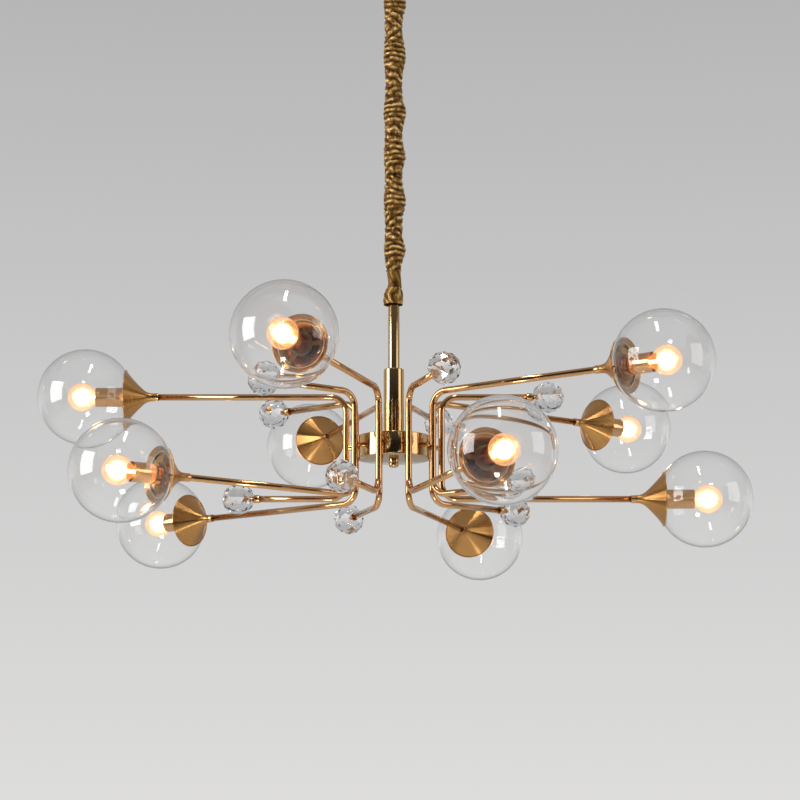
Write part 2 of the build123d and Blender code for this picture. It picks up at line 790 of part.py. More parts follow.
with BuildPart() as crystals:
    with Locations(*arm_places):
        add(crystal.part)
crystals.part.label = "crystals"
export_step(crystals.part, "parts/crystals.step")

# Collar on the arm's other end, with the pin that the crystal is cemented on
crystal_collar_r = tube_r + fit + crystal_collar_wall
with BuildPart() as crystal_collar:
    with BuildSketch(Plane.YZ.offset(crystal_end)):
        with Locations((0, -head_z)):
            Circle(crystal_collar_r)
    extrude(amount=crystal_collar_web)
    with BuildSketch(Plane.YZ.offset(crystal_end - tube_in_collar)):
        with Locations((0, -head_z)):
            Circle(crystal_collar_r)
            Circle(tube_r + fit, mode=Mode.SUBTRACT)
    extrude(amount=tube_in_collar)
    with BuildSketch(Plane.YZ.offset(crystal_x)):
        with Locations((0, -head_z)):
            Circle(crystal_pin_d / 2)
    extrude(amount=crystal_pin_len)
with BuildPart() as crystal_collars:
    with Locations(*arm_places):
        add(crystal_collar.part)
crystal_collars.part.label = "crystal_collars"
export_step(crystal_collars.part, "parts/crystal_collars.step")

# One arm, globe and lamp at each place, counted round from +X
for number, place in enumerate(arm_places, 1):
    placed_arm = arm.part.moved(place)
    placed_arm.label = f"arm_{number:02d}"
    export_step(placed_arm, f"parts/arm_{number:02d}.step")
    placed_globe = globe.part.moved(place)
    placed_globe.label = f"globe_{number:02d}"
    export_step(placed_globe, f"parts/globe_{number:02d}.step")
    placed_lamp = lamp.part.moved(place)
    placed_lamp.label = f"lamp_{number:02d}"
    export_step(placed_lamp, f"parts/lamp_{number:02d}.step")
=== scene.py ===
import bpy
import bmesh
from math import asin, atan2, cos, exp, hypot, pi, radians, sin, sqrt
from mathutils import Matrix, Vector, noise


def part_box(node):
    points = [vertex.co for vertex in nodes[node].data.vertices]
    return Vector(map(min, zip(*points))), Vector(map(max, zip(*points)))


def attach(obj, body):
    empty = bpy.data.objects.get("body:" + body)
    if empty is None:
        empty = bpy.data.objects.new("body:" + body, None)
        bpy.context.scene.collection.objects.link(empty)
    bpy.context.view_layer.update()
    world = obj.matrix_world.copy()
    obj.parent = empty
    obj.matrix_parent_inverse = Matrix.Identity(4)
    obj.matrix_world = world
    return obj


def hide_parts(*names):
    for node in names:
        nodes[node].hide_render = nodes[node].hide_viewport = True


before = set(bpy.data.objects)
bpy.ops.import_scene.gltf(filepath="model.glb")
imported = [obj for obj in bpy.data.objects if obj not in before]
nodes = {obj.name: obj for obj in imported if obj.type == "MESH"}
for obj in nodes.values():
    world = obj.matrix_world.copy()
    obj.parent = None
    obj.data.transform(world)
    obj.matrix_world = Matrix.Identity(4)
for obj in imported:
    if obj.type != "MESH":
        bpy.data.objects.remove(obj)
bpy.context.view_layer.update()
scene = bpy.context.scene
scene.view_settings.view_transform = "Standard"
mm = 0.001

# heights read from the frame
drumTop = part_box("hub_drum")[1].z
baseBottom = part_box("hub_base")[0].z
hubZ = (drumTop + baseBottom) / 2
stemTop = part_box("stem_tube")[1].z
print("frame loaded:", len(nodes), "nodes, hub at", round(hubZ, 4))

# camera
cameraSet = {"side": 9.59 * mm, "distance": 3.5195, "below": 0.595, "tilt": 10.79, "lens": 103.58,
             "sensor": 36}
cameraData = bpy.data.cameras.new("photoCamera")
cameraData.lens = cameraSet["lens"]
cameraData.sensor_width = cameraSet["sensor"]
camera = bpy.data.objects.new("photoCamera", cameraData)
camera.location = (cameraSet["side"], -cameraSet["distance"], hubZ - cameraSet["below"])
camera.rotation_euler = (radians(90 + cameraSet["tilt"]), 0, 0)
scene.collection.objects.link(camera)
scene.camera = camera


# node helpers
def setInputs(node, feed):
    for key, value in feed.items():
        node.inputs[key].default_value = value


def addNode(tree, kind, at=(0, 0), feed=None, **values):
    node = tree.nodes.new(kind)
    node.location = at
    for key, value in values.items():
        setattr(node, key, value)
    setInputs(node, feed or {})
    return node


def wire(tree, *pairs):
    for source, out, target, into in pairs:
        tree.links.new(source.outputs[out], target.inputs[into])


def newGroup(name, inputs):
    # a group that takes a position and these values, and gives colour, roughness and height
    tree = bpy.data.node_groups.new(name, "ShaderNodeTree")
    for label, value in {"Position": None, **inputs}.items():
        kind = "Vector" if value is None else "Color" if isinstance(value, tuple) else "Float"
        made = tree.interface.new_socket(name=label, in_out="INPUT", socket_type="NodeSocket" + kind)
        if value is not None:
            made.default_value = value
    for label, kind in (("Color", "Color"), ("Roughness", "Float"), ("Height", "Float")):
        tree.interface.new_socket(name=label, in_out="OUTPUT", socket_type="NodeSocket" + kind)
    return tree, addNode(tree, "NodeGroupInput", (-900, 0)), addNode(tree, "NodeGroupOutput", (600, 0))


def newFinish(name, feed):
    finish = bpy.data.materials.new(name)
    finish.use_nodes = True
    shader = finish.node_tree.nodes["Principled BSDF"]
    setInputs(shader, feed)
    return finish, finish.node_tree, shader


def ramp(tree, at, stops):
    node = addNode(tree, "ShaderNodeValToRGB", at)
    while len(node.color_ramp.elements) < len(stops):
        node.color_ramp.elements.new(0.5)
    for element, (place, colour) in zip(node.color_ramp.elements, stops):
        element.position = place
        element.color = (*colour, 1)
    return node


# handled metal: cloudy smudges, hairlines along one way, and a slow drift of tone
handled, gIn, gOut = newGroup("handledMetal", {
    "Tone A": (0.8, 0.5, 0.25, 1), "Tone B": (0.7, 0.42, 0.2, 1), "Low Roughness": 0.08, "High Roughness": 0.2,
    "Cloud Scale": 30.0, "Hairline Scale": 900.0})
cloud = addNode(handled, "ShaderNodeTexNoise", (-600, 200), {"Detail": 6, "Roughness": 0.62})
drift = addNode(handled, "ShaderNodeMix", (-200, 300), data_type="RGBA")
smudge = addNode(handled, "ShaderNodeMapRange", (-200, 50), {"From Min": 0.42, "From Max": 0.7})
stretch = addNode(handled, "ShaderNodeMapping", (-760, -200), {"Scale": (1, 1, 0.06)})
hairline = addNode(handled, "ShaderNodeTexNoise", (-600, -200), {"Detail": 2})
wire(handled, (gIn, "Position", cloud, "Vector"), (gIn, "Cloud Scale", cloud, "Scale"),
     (cloud, "Fac", drift, "Factor"), (gIn, "Tone A", drift, "A"), (gIn, "Tone B", drift, "B"),
     (drift, "Result", gOut, "Color"), (cloud, "Fac", smudge, "Value"),
     (gIn, "Low Roughness", smudge, "To Min"), (gIn, "High Roughness", smudge, "To Max"),
     (smudge, "Result", gOut, "Roughness"), (gIn, "Position", stretch, "Vector"),
     (stretch, "Vector", hairline, "Vector"), (gIn, "Hairline Scale", hairline, "Scale"),
     (hairline, "Fac", gOut, "Height"))

# clear glass: faint ripple of the blown wall, a few finger marks, hardly any tint
ripple, gIn, gOut = newGroup("clearRipple", {
    "Tint A": (1, 1, 1, 1), "Tint B": (0.96, 0.97, 0.97, 1), "Ripple Scale": 22.0, "Mark Scale": 40.0,
    "Mark Roughness": 0.04})
wave = addNode(ripple, "ShaderNodeTexNoise", (-600, -100), {"Detail": 1})
marks = addNode(ripple, "ShaderNodeTexNoise", (-600, 150), {"Detail": 5})
faint = addNode(ripple, "ShaderNodeMapRange", (-250, 150), {"From Min": 0.6, "From Max": 0.8})
tint = addNode(ripple, "ShaderNodeMix", (-250, 350), data_type="RGBA")
wire(ripple, (gIn, "Position", wave, "Vector"), (gIn, "Ripple Scale", wave, "Scale"),
     (wave, "Fac", gOut, "Height"), (gIn, "Position", marks, "Vector"), (gIn, "Mark Scale", marks, "Scale"),
     (marks, "Fac", faint, "Value"), (gIn, "Mark Roughness", faint, "To Max"),
     (faint, "Result", gOut, "Roughness"), (wave, "Fac", tint, "Factor"), (gIn, "Tint A", tint, "A"),
     (gIn, "Tint B", tint, "B"), (tint, "Result", gOut, "Color"))

# moulded plastic: fine grain and a little dust
moulded, gIn, gOut = newGroup("mouldedGrain", {
    "Body": (0.8, 0.8, 0.78, 1), "Dust": (0.6, 0.58, 0.54, 1), "Grain Scale": 1500.0})
grain = addNode(moulded, "ShaderNodeTexNoise", (-600, -100), {"Detail": 3})
patches = addNode(moulded, "ShaderNodeTexNoise", (-600, 150), {"Scale": 90, "Detail": 4})
dusty = addNode(moulded, "ShaderNodeMix", (-250, 250), data_type="RGBA")
sheen = addNode(moulded, "ShaderNodeMapRange", (-250, 0), {"To Min": 0.4, "To Max": 0.6})
wire(moulded, (gIn, "Position", grain, "Vector"), (gIn, "Grain Scale", grain, "Scale"),
     (grain, "Fac", gOut, "Height"), (gIn, "Position", patches, "Vector"), (patches, "Fac", dusty, "Factor"),
     (gIn, "Body", dusty, "A"), (gIn, "Dust", dusty, "B"), (dusty, "Result", gOut, "Color"),
     (patches, "Fac", sheen, "Value"), (sheen, "Result", gOut, "Roughness"))
print("node groups ready")


def bumpFrom(tree, source, out, shader, strength, distance):
    bump = addNode(tree, "ShaderNodeBump", (-150, -250), {"Strength": strength, "Distance": distance})
    wire(tree, (source, out, bump, "Height"), (bump, "Normal", shader, "Normal"))


def groupFinish(name, group, look, feed):
    finish, tree, shader = newFinish(name, feed)
    place = addNode(tree, "ShaderNodeTexCoord", (-900, 0))
    coat = addNode(tree, "ShaderNodeGroup", (-500, 0), look["group"], node_tree=group)
    wire(tree, (place, "Object", coat, "Position"), (coat, "Color", shader, "Base Color"),
         (coat, "Roughness", shader, "Roughness"))
    if "bump" in look:
        bumpFrom(tree, coat, "Height", shader, look["bump"], look["depth"])
    return finish, tree, shader


def metalFinish(name, look):
    return groupFinish(name, handled, look, {"Metallic": 1})


def glassFinish(name, look):
    return groupFinish(name, ripple, look, {"Transmission Weight": 1, "IOR": look["ior"]})


# finishes of this lamp
goldLook = {"group": {"Tone A": (0.68, 0.385, 0.175, 1), "Tone B": (0.6, 0.32, 0.135, 1), "Low Roughness": 0.07,
                      "High Roughness": 0.13, "Cloud Scale": 30.0, "Hairline Scale": 1100.0},
            "bump": 0.025, "depth": 0.0002}
polishedGold, _, _ = metalFinish("polishedGold", goldLook)

stemLook = {"group": {"Tone A": (0.62, 0.42, 0.2, 1), "Tone B": (0.53, 0.34, 0.15, 1), "Low Roughness": 0.09,
                      "High Roughness": 0.16, "Cloud Scale": 30.0, "Hairline Scale": 1300.0},
            "bump": 0.04, "depth": 0.0002}
stemGold, _, _ = metalFinish("stemGold", stemLook)

# spun cups: lathe rings on the piece's own UV, and gloss that fans out across them
spunLook = {"group": {"Tone A": (0.6, 0.315, 0.105, 1), "Tone B": (0.5, 0.25, 0.08, 1), "Low Roughness": 0.24,
                      "High Roughness": 0.29, "Cloud Scale": 25.0, "Hairline Scale": 700.0},
            "grain": 1, "grainTurn": 0.25, "rings": 1400.0, "ringWander": 1.5, "ringBump": 0.03, "ringDepth": 0.0001}
spunGold, tree, shader = metalFinish("spunGold", spunLook)
setInputs(shader, {"Anisotropic": spunLook["grain"], "Anisotropic Rotation": spunLook["grainTurn"]})
latheWay = addNode(tree, "ShaderNodeTangent", (-300, -500), direction_type="UV_MAP", uv_map="spun")
latheUv = addNode(tree, "ShaderNodeUVMap", (-1100, -400), uv_map="spun")
latheRings = addNode(tree, "ShaderNodeTexWave", (-700, -400),
                     {"Scale": spunLook["rings"], "Distortion": spunLook["ringWander"]},
                     wave_type="BANDS", bands_direction="Y")
wire(tree, (latheWay, "Tangent", shader, "Tangent"), (latheUv, "UV", latheRings, "Vector"))
bumpFrom(tree, latheRings, "Fac", shader, spunLook["ringBump"], spunLook["ringDepth"])

# a lighter, paler copy of the gold: painted highlight for the seat rings
seatHighlightLook = {"group": {"Tone A": (0.95, 0.76, 0.45, 1), "Tone B": (0.88, 0.68, 0.38, 1), "Low Roughness": 0.3,
                      "High Roughness": 0.42, "Cloud Scale": 60.0, "Hairline Scale": 500.0},
            "bump": 0.03, "depth": 0.0002}
seatHighlightGold, _, _ = metalFinish("seatHighlightGold", seatHighlightLook)

steelLook = {"group": {"Tone A": (0.62, 0.62, 0.61, 1), "Tone B": (0.5, 0.5, 0.5, 1), "Low Roughness": 0.28,
                       "High Roughness": 0.42, "Cloud Scale": 60.0, "Hairline Scale": 900.0},
             "bump": 0.1, "depth": 0.0002}
plainSteel, _, _ = metalFinish("plainSteel", steelLook)

# a bronze darkened far below bare metal: painted shade so the globe clips sink into the dark inside the cups
clipShadeLook = {"group": {"Tone A": (0.24, 0.135, 0.06, 1), "Tone B": (0.17, 0.095, 0.045, 1), "Low Roughness": 0.3,
                        "High Roughness": 0.45, "Cloud Scale": 80.0, "Hairline Scale": 900.0},
              "bump": 0.1, "depth": 0.0002}
clipShadeBronze, _, _ = metalFinish("clipShadeBronze", clipShadeLook)

globeLook = {"group": {"Tint A": (1, 1, 1, 1), "Tint B": (0.975, 0.98, 0.978, 1), "Ripple Scale": 24.0,
                       "Mark Scale": 55.0, "Mark Roughness": 0.03}, "ior": 1.45, "bump": 0.02, "depth": 0.002}
globeGlass, _, _ = glassFinish("globeGlass", globeLook)

crystalLook = {"group": {"Tint A": (1, 1, 1, 1), "Tint B": (0.97, 0.975, 0.985, 1), "Ripple Scale": 60.0,
                         "Mark Scale": 90.0, "Mark Roughness": 0.02}, "ior": 1.58, "bump": 0.01, "depth": 0.001}
crystalGlass, _, _ = glassFinish("crystalGlass", crystalLook)

lampLook = {"group": {"Tint A": (1, 0.97, 0.9, 1), "Tint B": (1, 0.94, 0.84, 1), "Ripple Scale": 90.0,
                      "Mark Scale": 120.0, "Mark Roughness": 0.05}, "ior": 1.45, "bump": 0.03, "depth": 0.001,
            "glow": (1, 0.4, 0.08, 1), "glowStrength": 0.16}
lampGlass, _, shader = glassFinish("lampGlass", lampLook)
setInputs(shader, {"Emission Color": lampLook["glow"], "Emission Strength": lampLook["glowStrength"]})

# lit core: a hot ball in thin shells of glow, told apart by the colour attribute "ember"
coreLook = {"tones": ((1, 0.42, 0.07), (1, 0.78, 0.36), (1, 1, 1)), "alpha": (0.035, 0.11, 1), "places": (0, 0.5, 1),
            "plain": {"Base Color": (0.6, 0.45, 0.25, 1), "Roughness": 0.6, "Specular IOR Level": 0,
                      "Emission Strength": 8}}
litCore, tree, shader = newFinish("litCore", coreLook["plain"])
ember = addNode(tree, "ShaderNodeVertexColor", (-900, 0), layer_name="ember")
emberRamp = ramp(tree, (-600, 150), list(zip(coreLook["places"], coreLook["tones"])))
alphaRamp = ramp(tree, (-600, -150),
                 [(place, (alpha,) * 3) for place, alpha in zip(coreLook["places"], coreLook["alpha"])])
for shades, socket in ((emberRamp, "Emission Color"), (alphaRamp, "Alpha")):
    wire(tree, (ember, "Color", shades, "Fac"), (shades, "Color", shader, socket))

plasticLook = {"bump": 0.15, "depth": 0.0002}
whitePlastic, creamPlastic, cablePlastic = (
    groupFinish(name, moulded, {"group": {"Body": body, "Dust": dust}, **plasticLook}, {})[0]
    for name, body, dust in (("whitePlastic", (0.72, 0.71, 0.67, 1), (0.6, 0.58, 0.53, 1)),
                             ("creamPlastic", (0.66, 0.6, 0.47, 1), (0.55, 0.5, 0.4, 1)),
                             ("cablePlastic", (0.42, 0.31, 0.13, 1), (0.36, 0.28, 0.14, 1))))

# satin of the sleeve: crossed threads on the cloth's own UV, a soft sheen, painted shade in the creases and painted
# highlight on the crests
# colour stops run from painted crease shade through the mid tone to painted crest highlight
satinLook = {"stops": ((0.12, (0.036, 0.01, 0.001)), (0.5, (0.29, 0.142, 0.022)), (0.86, (0.96, 0.68, 0.31))),
             "threads": 1700.0, "weftShare": 0.55, "weftMix": 0.35, "slub": 260, "slubMix": 0.25,
             "roughness": (0.24, 0.38), "bump": 0.25, "depth": 0.0003,
             "plain": {"Metallic": 0.42, "Specular IOR Level": 0.25, "Sheen Weight": 0.07,
                       "Sheen Tint": (1, 0.78, 0.42, 1)}}
sleeveSatin, tree, shader = newFinish("sleeveSatin", satinLook["plain"])
clothUv = addNode(tree, "ShaderNodeUVMap", (-1500, 0), uv_map="cloth")
warp, weft = (addNode(tree, "ShaderNodeTexWave", at,
                      {"Scale": satinLook["threads"] * share, "Distortion": 2.5, "Detail": 1.5},
                      wave_type="BANDS", bands_direction=way)
              for at, share, way in (((-1200, 250), 1.0, "X"), ((-1200, -50), satinLook["weftShare"], "Y")))
weave = addNode(tree, "ShaderNodeMix", (-950, 100), {"Factor": satinLook["weftMix"]}, data_type="FLOAT")
# the fold attribute paints shade into creases and highlight onto crests, mixed with random slub tone
foldShadingNode = addNode(tree, "ShaderNodeVertexColor", (-1500, 400), layer_name="foldShading")
slub = addNode(tree, "ShaderNodeTexNoise", (-1200, -350), {"Scale": satinLook["slub"], "Detail": 4})
tone = addNode(tree, "ShaderNodeMix", (-700, 350), {"Factor": satinLook["slubMix"]}, data_type="FLOAT")
satinRamp = ramp(tree, (-450, 350), satinLook["stops"])
gloss = addNode(tree, "ShaderNodeMapRange", (-450, 50), dict(zip(("To Min", "To Max"), satinLook["roughness"])))
wire(tree, (clothUv, "UV", warp, "Vector"), (clothUv, "UV", weft, "Vector"), (clothUv, "UV", slub, "Vector"),
     (warp, "Fac", weave, "A"), (weft, "Fac", weave, "B"), (foldShadingNode, "Color", tone, "A"), (slub, "Fac", tone, "B"),
     (tone, "Result", satinRamp, "Fac"), (satinRamp, "Color", shader, "Base Color"),
     (weave, "Result", gloss, "Value"), (gloss, "Result", shader, "Roughness"))
bumpFrom(tree, weave, "Result", shader, satinLook["bump"], satinLook["depth"])
print("finishes ready")


# shaping helpers
weldGap = 2e-6


def ringEdges(made):
    return [item for item in made if isinstance(item, bmesh.types.BMEdge)]


def runOn(bm, ring, offset):
    made = bmesh.ops.extrude_edge_only(bm, edges=ring)["geom"]
    verts = [item for item in made if isinstance(item, bmesh.types.BMVert)]
    bmesh.ops.translate(bm, verts=verts, vec=offset)
    fresh = set(verts)
    return [edge for edge in ringEdges(made) if edge.verts[0] in fresh and edge.verts[1] in fresh]


def bendOn(bm, ring, centre, axis, angle, steps):
    geom = ring + list({vert for edge in ring for vert in edge.verts})
    made = bmesh.ops.spin(bm, geom=geom, cent=centre, axis=axis, angle=angle, steps=steps)
    return ringEdges(made["geom_last"])


def startRing(bm, radius, segments, place):
    made = bmesh.ops.create_circle(bm, cap_ends=False, radius=radius, segments=segments, matrix=place)
    return list({edge for vert in made["verts"] for edge in vert.link_edges})


def closeUp(bm):
    bmesh.ops.remove_doubles(bm, verts=bm.verts[:], dist=weldGap)
    bmesh.ops.recalc_face_normals(bm, faces=bm.faces[:])


def arcOn(bm, vert, centre, angle, steps):
    # an arc in the XZ plane, from +X towards +Z
    made = bmesh.ops.spin(bm, geom=[vert], cent=centre, axis=(0, -1, 0), angle=angle, steps=steps)
    return [item for item in made["geom_last"] if isinstance(item, bmesh.types.BMVert)][0]


def tangentArc(bm, vert, heading, target, steps):
    # leaves vert along heading and ends at target
    along = Vector(heading).normalized()
    side = Vector((-along.z, 0, along.x))
    chord = Vector(target) - vert.co
    lean = chord.dot(side)
    turn = 2 * atan2(lean, chord.dot(along))
    centre = vert.co + side * chord.length_squared / (2 * lean)
    last = arcOn(bm, vert, centre, turn, steps)
    return last, Matrix.Rotation(-turn, 3, "Y") @ along


def chained(bm, points):
    verts = [bm.verts.new(point) for point in points]
    for first, second in zip(verts, verts[1:]):
        bm.edges.new((first, second))
    return verts


def rounded(bm, vert, offset, segments):
    bmesh.ops.bevel(bm, geom=[vert], offset=offset, segments=segments, profile=0.5, affect="VERTICES",
                    material=-1)


def turned(bm, centre, axis, steps):
    bmesh.ops.spin(bm, geom=bm.verts[:] + bm.edges[:], cent=centre, axis=axis, angle=2 * pi, steps=steps,
                   use_merge=True)
    closeUp(bm)


def turnedFrom(points, rounds, segments, centre, axis, steps):
    # a closed outline in the XZ plane, its named corners rounded, turned about an axis
    bm = bmesh.new()
    verts = chained(bm, points)
    bm.edges.new((verts[-1], verts[0]))
    for index, offset in rounds.items():
        rounded(bm, verts[index], offset, segments)
    turned(bm, centre, axis, steps)
    return bm


def upright(profile, rounds, steps=64):
    # a piece turned round the middle axis, from (radius, height) pairs
    points = [(radius, 0, height) for radius, height in profile]
    return turnedFrom(points, rounds, 4, (0, 0, 0), (0, 0, 1), steps)


def onHead(profile, rounds, height, steps):
    # a piece turned round the head of the arm along +X, from (distance, radius) pairs
    points = [(out, 0, height + radius) for out, radius in profile]
    return turnedFrom(points, rounds, 3, (0, 0, height), (1, 0, 0), steps)


def latheUvOf(bm, height):
    # u runs round the head's axis, v along it in metres
    layer = bm.loops.layers.uv.new("spun")
    for face in bm.faces:
        middle = face.calc_center_median()
        home = atan2(middle.y, middle.z - height)
        for loop in face.loops:
            co = loop.vert.co
            reach = hypot(co.y, co.z - height)
            turn = atan2(co.y, co.z - height) if reach > 1e-6 else home
            while turn - home > pi:
                turn -= 2 * pi
            while turn - home < -pi:
                turn += 2 * pi
            loop[layer].uv = (turn / (2 * pi), co.x)


armPlaces = []
for number in range(10):  # every other arm is turned over
    flip = pi if number % 2 == 0 else 0
    armPlaces.append(Matrix.Translation((0, 0, hubZ)) @ Matrix.Rotation(radians(36 * number), 4, "Z")
                     @ Matrix.Rotation(flip, 4, "X"))


def addTo(joined, bm, place=None):
    spare = bpy.data.meshes.new("spare")
    bm.to_mesh(spare)
    if place is not None:
        spare.transform(place)
    joined.from_mesh(spare)
    bpy.data.meshes.remove(spare)


def copies(bm, places):
    joined = bmesh.new()
    for place in places:
        addTo(joined, bm, place)
    bm.free()
    return joined


def piece(name, bm, finish, body, stands=(), sharp=35):
    mesh = bpy.data.meshes.new(name)
    bm.to_mesh(mesh)
    bm.free()
    if sharp:
        mesh.shade_smooth()
        mesh.set_sharp_from_angle(angle=radians(sharp))
    else:
        mesh.shade_flat()
    mesh.materials.append(finish)
    made = bpy.data.objects.new(name, mesh)
    scene.collection.objects.link(made)
    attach(made, body)
    if stands:
        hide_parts(*stands)
    return made


# ceiling canopy, its domed nuts and the loop under it
canopySet = {"radius": 59.97 * mm, "height": 28 * mm, "wall": 1.2 * mm, "edge": 8 * mm, "lip": 0.3 * mm,
             "bore": 5.05 * mm}
low = -canopySet["height"]
inner = canopySet["radius"] - canopySet["wall"]
canopyShape = upright([(canopySet["bore"], low), (canopySet["radius"], low), (canopySet["radius"], 0), (inner, 0),
                       (inner, low + canopySet["wall"]), (canopySet["bore"], low + canopySet["wall"])],
                      {1: canopySet["edge"], 2: canopySet["lip"], 4: canopySet["edge"] - canopySet["wall"]}, 96)
piece("ceilingCanopy", canopyShape, polishedGold, "ceiling", ["ceiling_canopy"])

nutSet = {"radius": 4.5 * mm, "crown": 0.86, "height": 8 * mm, "dome": 3.6 * mm, "flange": 1.2 * mm,
          "edge": 0.3 * mm, "bore": 2.05 * mm}
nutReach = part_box("canopy_nuts")[1].x - nutSet["radius"]
crownR = nutSet["radius"] * nutSet["crown"]
nutShape = bmesh.new()
verts = chained(nutShape, [(0, 0, low - nutSet["height"]), (crownR, 0, low - nutSet["height"]),
                           (crownR, 0, low - nutSet["flange"]), (nutSet["radius"], 0, low - nutSet["flange"]),
                           (nutSet["radius"], 0, low), (nutSet["bore"], 0, low)])
rounded(nutShape, verts[1], nutSet["dome"], 6)
rounded(nutShape, verts[3], nutSet["edge"], 2)
turned(nutShape, (0, 0, 0), (0, 0, 1), 28)
nutPlaces = [Matrix.Translation((side * nutReach, 0, 0)) for side in (-1, 1)]
piece("canopyNuts", copies(nutShape, nutPlaces), polishedGold, "ceiling", ["canopy_nuts"])

loopSet = {"bore": 14 * mm, "wire": 4 * mm, "hole": 3 * mm, "collarHigh": 6 * mm, "collarEdge": 0.7 * mm,
           "canopyCollar": 10 * mm, "stemCollar": 9 * mm, "shank": 5 * mm, "shankEdge": 0.5 * mm,
           "segments": 20, "steps": 56}
loopMid = loopSet["bore"] / 2 + loopSet["wire"] / 2


def hangingLoop(collarLow, collarRadius, ringHeight, ringTurn):
    collarHigh = collarLow + loopSet["collarHigh"]
    bm = upright([(loopSet["hole"], collarLow), (collarRadius, collarLow), (collarRadius, collarHigh),
                  (loopSet["hole"], collarHigh)], {1: loopSet["collarEdge"], 2: loopSet["collarEdge"]}, 48)
    ring = bmesh.new()
    startRing(ring, loopSet["wire"] / 2, loopSet["segments"], Matrix.Translation((loopMid, 0, 0)))
    turned(ring, (0, 0, 0), (0, 1, 0), loopSet["steps"])
    bmesh.ops.rotate(ring, verts=ring.verts[:], cent=(0, 0, 0), matrix=Matrix.Rotation(ringTurn, 3, "Z"))
    bmesh.ops.translate(ring, verts=ring.verts[:], vec=(0, 0, ringHeight))
    addTo(bm, ring)
    ring.free()
    return bm


canopyRingZ = low - loopSet["collarHigh"] - loopSet["bore"] / 2
canopyLoopShape = hangingLoop(low - loopSet["collarHigh"], loopSet["canopyCollar"], canopyRingZ, 0)
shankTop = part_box("canopy_loop")[1].z
shank = upright([(loopSet["hole"], low), (loopSet["shank"], low), (loopSet["shank"], shankTop),
                 (loopSet["hole"], shankTop)], {2: loopSet["shankEdge"]}, 32)
addTo(canopyLoopShape, shank)
shank.free()
piece("canopyLoop", canopyLoopShape, polishedGold, "ceiling", ["canopy_loop"])
print("ceiling fitting made")

# chain links
linkSet = {"wire": 3 * mm, "inside": 24 * mm, "width": 8 * mm, "play": 0.3 * mm, "count": 25, "segments": 14,
           "bendSteps": 14}
linkMid = linkSet["width"] / 2 + linkSet["wire"] / 2
linkSide = linkSet["inside"] / 2 - linkSet["width"] / 2
hookZ = canopyRingZ - loopSet["bore"] / 2
linkPitch = linkSet["inside"] - linkSet["play"]


def linkShape():
    bm = bmesh.new()
    ring = startRing(bm, linkSet["wire"] / 2, linkSet["segments"], Matrix.Translation((linkMid, 0, 0)))
    ring = runOn(bm, ring, (0, 0, linkSide))
    ring = bendOn(bm, ring, (0, 0, linkSide), (0, -1, 0), pi, linkSet["bendSteps"])
    ring = runOn(bm, ring, (0, 0, -2 * linkSide))
    ring = bendOn(bm, ring, (0, 0, -linkSide), (0, -1, 0), pi, linkSet["bendSteps"])
    runOn(bm, ring, (0, 0, linkSide))
    closeUp(bm)
    return bm


def linkPlace(number):
    height = hookZ + linkSet["play"] - number * linkPitch - linkSet["inside"] / 2
    return Matrix.Translation((0, 0, height)) @ Matrix.Rotation(radians(90 - 90 * (number % 2)), 4, "Z")


lastLink = linkSet["count"] - 1
for name, body, numbers in (("topLink", "top_link", [0]), ("chainLinks", "chain", range(1, lastLink)),
                            ("bottomLink", "bottom_link", [lastLink])):
    stands = "chain_links" if body == "chain" else body
    piece(name, copies(linkShape(), [linkPlace(number) for number in numbers]), polishedGold, body, [stands])

ringZ = hookZ + linkSet["play"] - lastLink * linkPitch - linkSet["inside"] + linkSet["play"] - loopSet["bore"] / 2
stemLoopShape = hangingLoop(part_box("stem_loop")[0].z, loopSet["stemCollar"], ringZ, pi / 2 * (lastLink % 2))
piece("stemLoop", stemLoopShape, stemGold, "stem_loop", ["stem_loop"])
print("chain made")

# stem, collar, drum, base and finial
stemSet = {"radius": 9 * mm, "wall": 1.2 * mm, "edge": 0.4 * mm, "collar": 16 * mm, "collarWall": 1.5 * mm,
           "collarCap": 4 * mm, "collarPlay": 0.05 * mm, "chamfer": 1.5 * mm, "chamferEdge": 0.25 * mm,
           "collarFoot": 0.3 * mm}
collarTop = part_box("stem_collar")[1].z
bore = stemSet["radius"] - stemSet["wall"]
stemShape = upright([(bore, drumTop), (stemSet["radius"], drumTop), (stemSet["radius"], stemTop), (bore, stemTop)],
                    {2: stemSet["edge"]})
piece("stemTube", stemShape, stemGold, "fixture", ["stem_tube"])
hug = stemSet["radius"] + stemSet["collarPlay"]
thin = stemSet["collar"] - stemSet["collarWall"]
capLow = collarTop - stemSet["collarCap"]
collarShape = upright([(thin, drumTop), (stemSet["collar"], drumTop),
                       (stemSet["collar"], collarTop - stemSet["chamfer"]),
                       (stemSet["collar"] - stemSet["chamfer"], collarTop), (hug, collarTop), (hug, capLow),
                       (thin, capLow)],
                      {1: stemSet["collarFoot"], 2: stemSet["chamferEdge"], 3: stemSet["chamferEdge"]})
piece("stemCollar", collarShape, stemGold, "fixture", ["stem_collar"])

drumSet = {"radius": 57 * mm, "wall": 1.5 * mm, "edge": 1 * mm, "seam": 0.25 * mm, "bore": 5.05 * mm,
           "plate": 1.5 * mm, "plateEdge": 0.5 * mm, "plateSeam": 0.2 * mm}
plateTop = baseBottom + drumSet["plate"]
skin = drumSet["radius"] - drumSet["wall"]
drumShape = upright([(skin, plateTop), (drumSet["radius"], plateTop), (drumSet["radius"], drumTop),
                     (drumSet["bore"], drumTop), (drumSet["bore"], drumTop - drumSet["wall"]),
                     (skin, drumTop - drumSet["wall"])], {1: drumSet["seam"], 2: drumSet["edge"]}, 120)
piece("hubDrum", drumShape, stemGold, "fixture", ["hub_drum"])
baseShape = upright([(drumSet["bore"], baseBottom), (drumSet["radius"], baseBottom), (drumSet["radius"], plateTop),
                     (drumSet["bore"], plateTop)], {1: drumSet["plateEdge"], 2: drumSet["plateSeam"]}, 120)
piece("hubBase", baseShape, stemGold, "fixture", ["hub_base"])

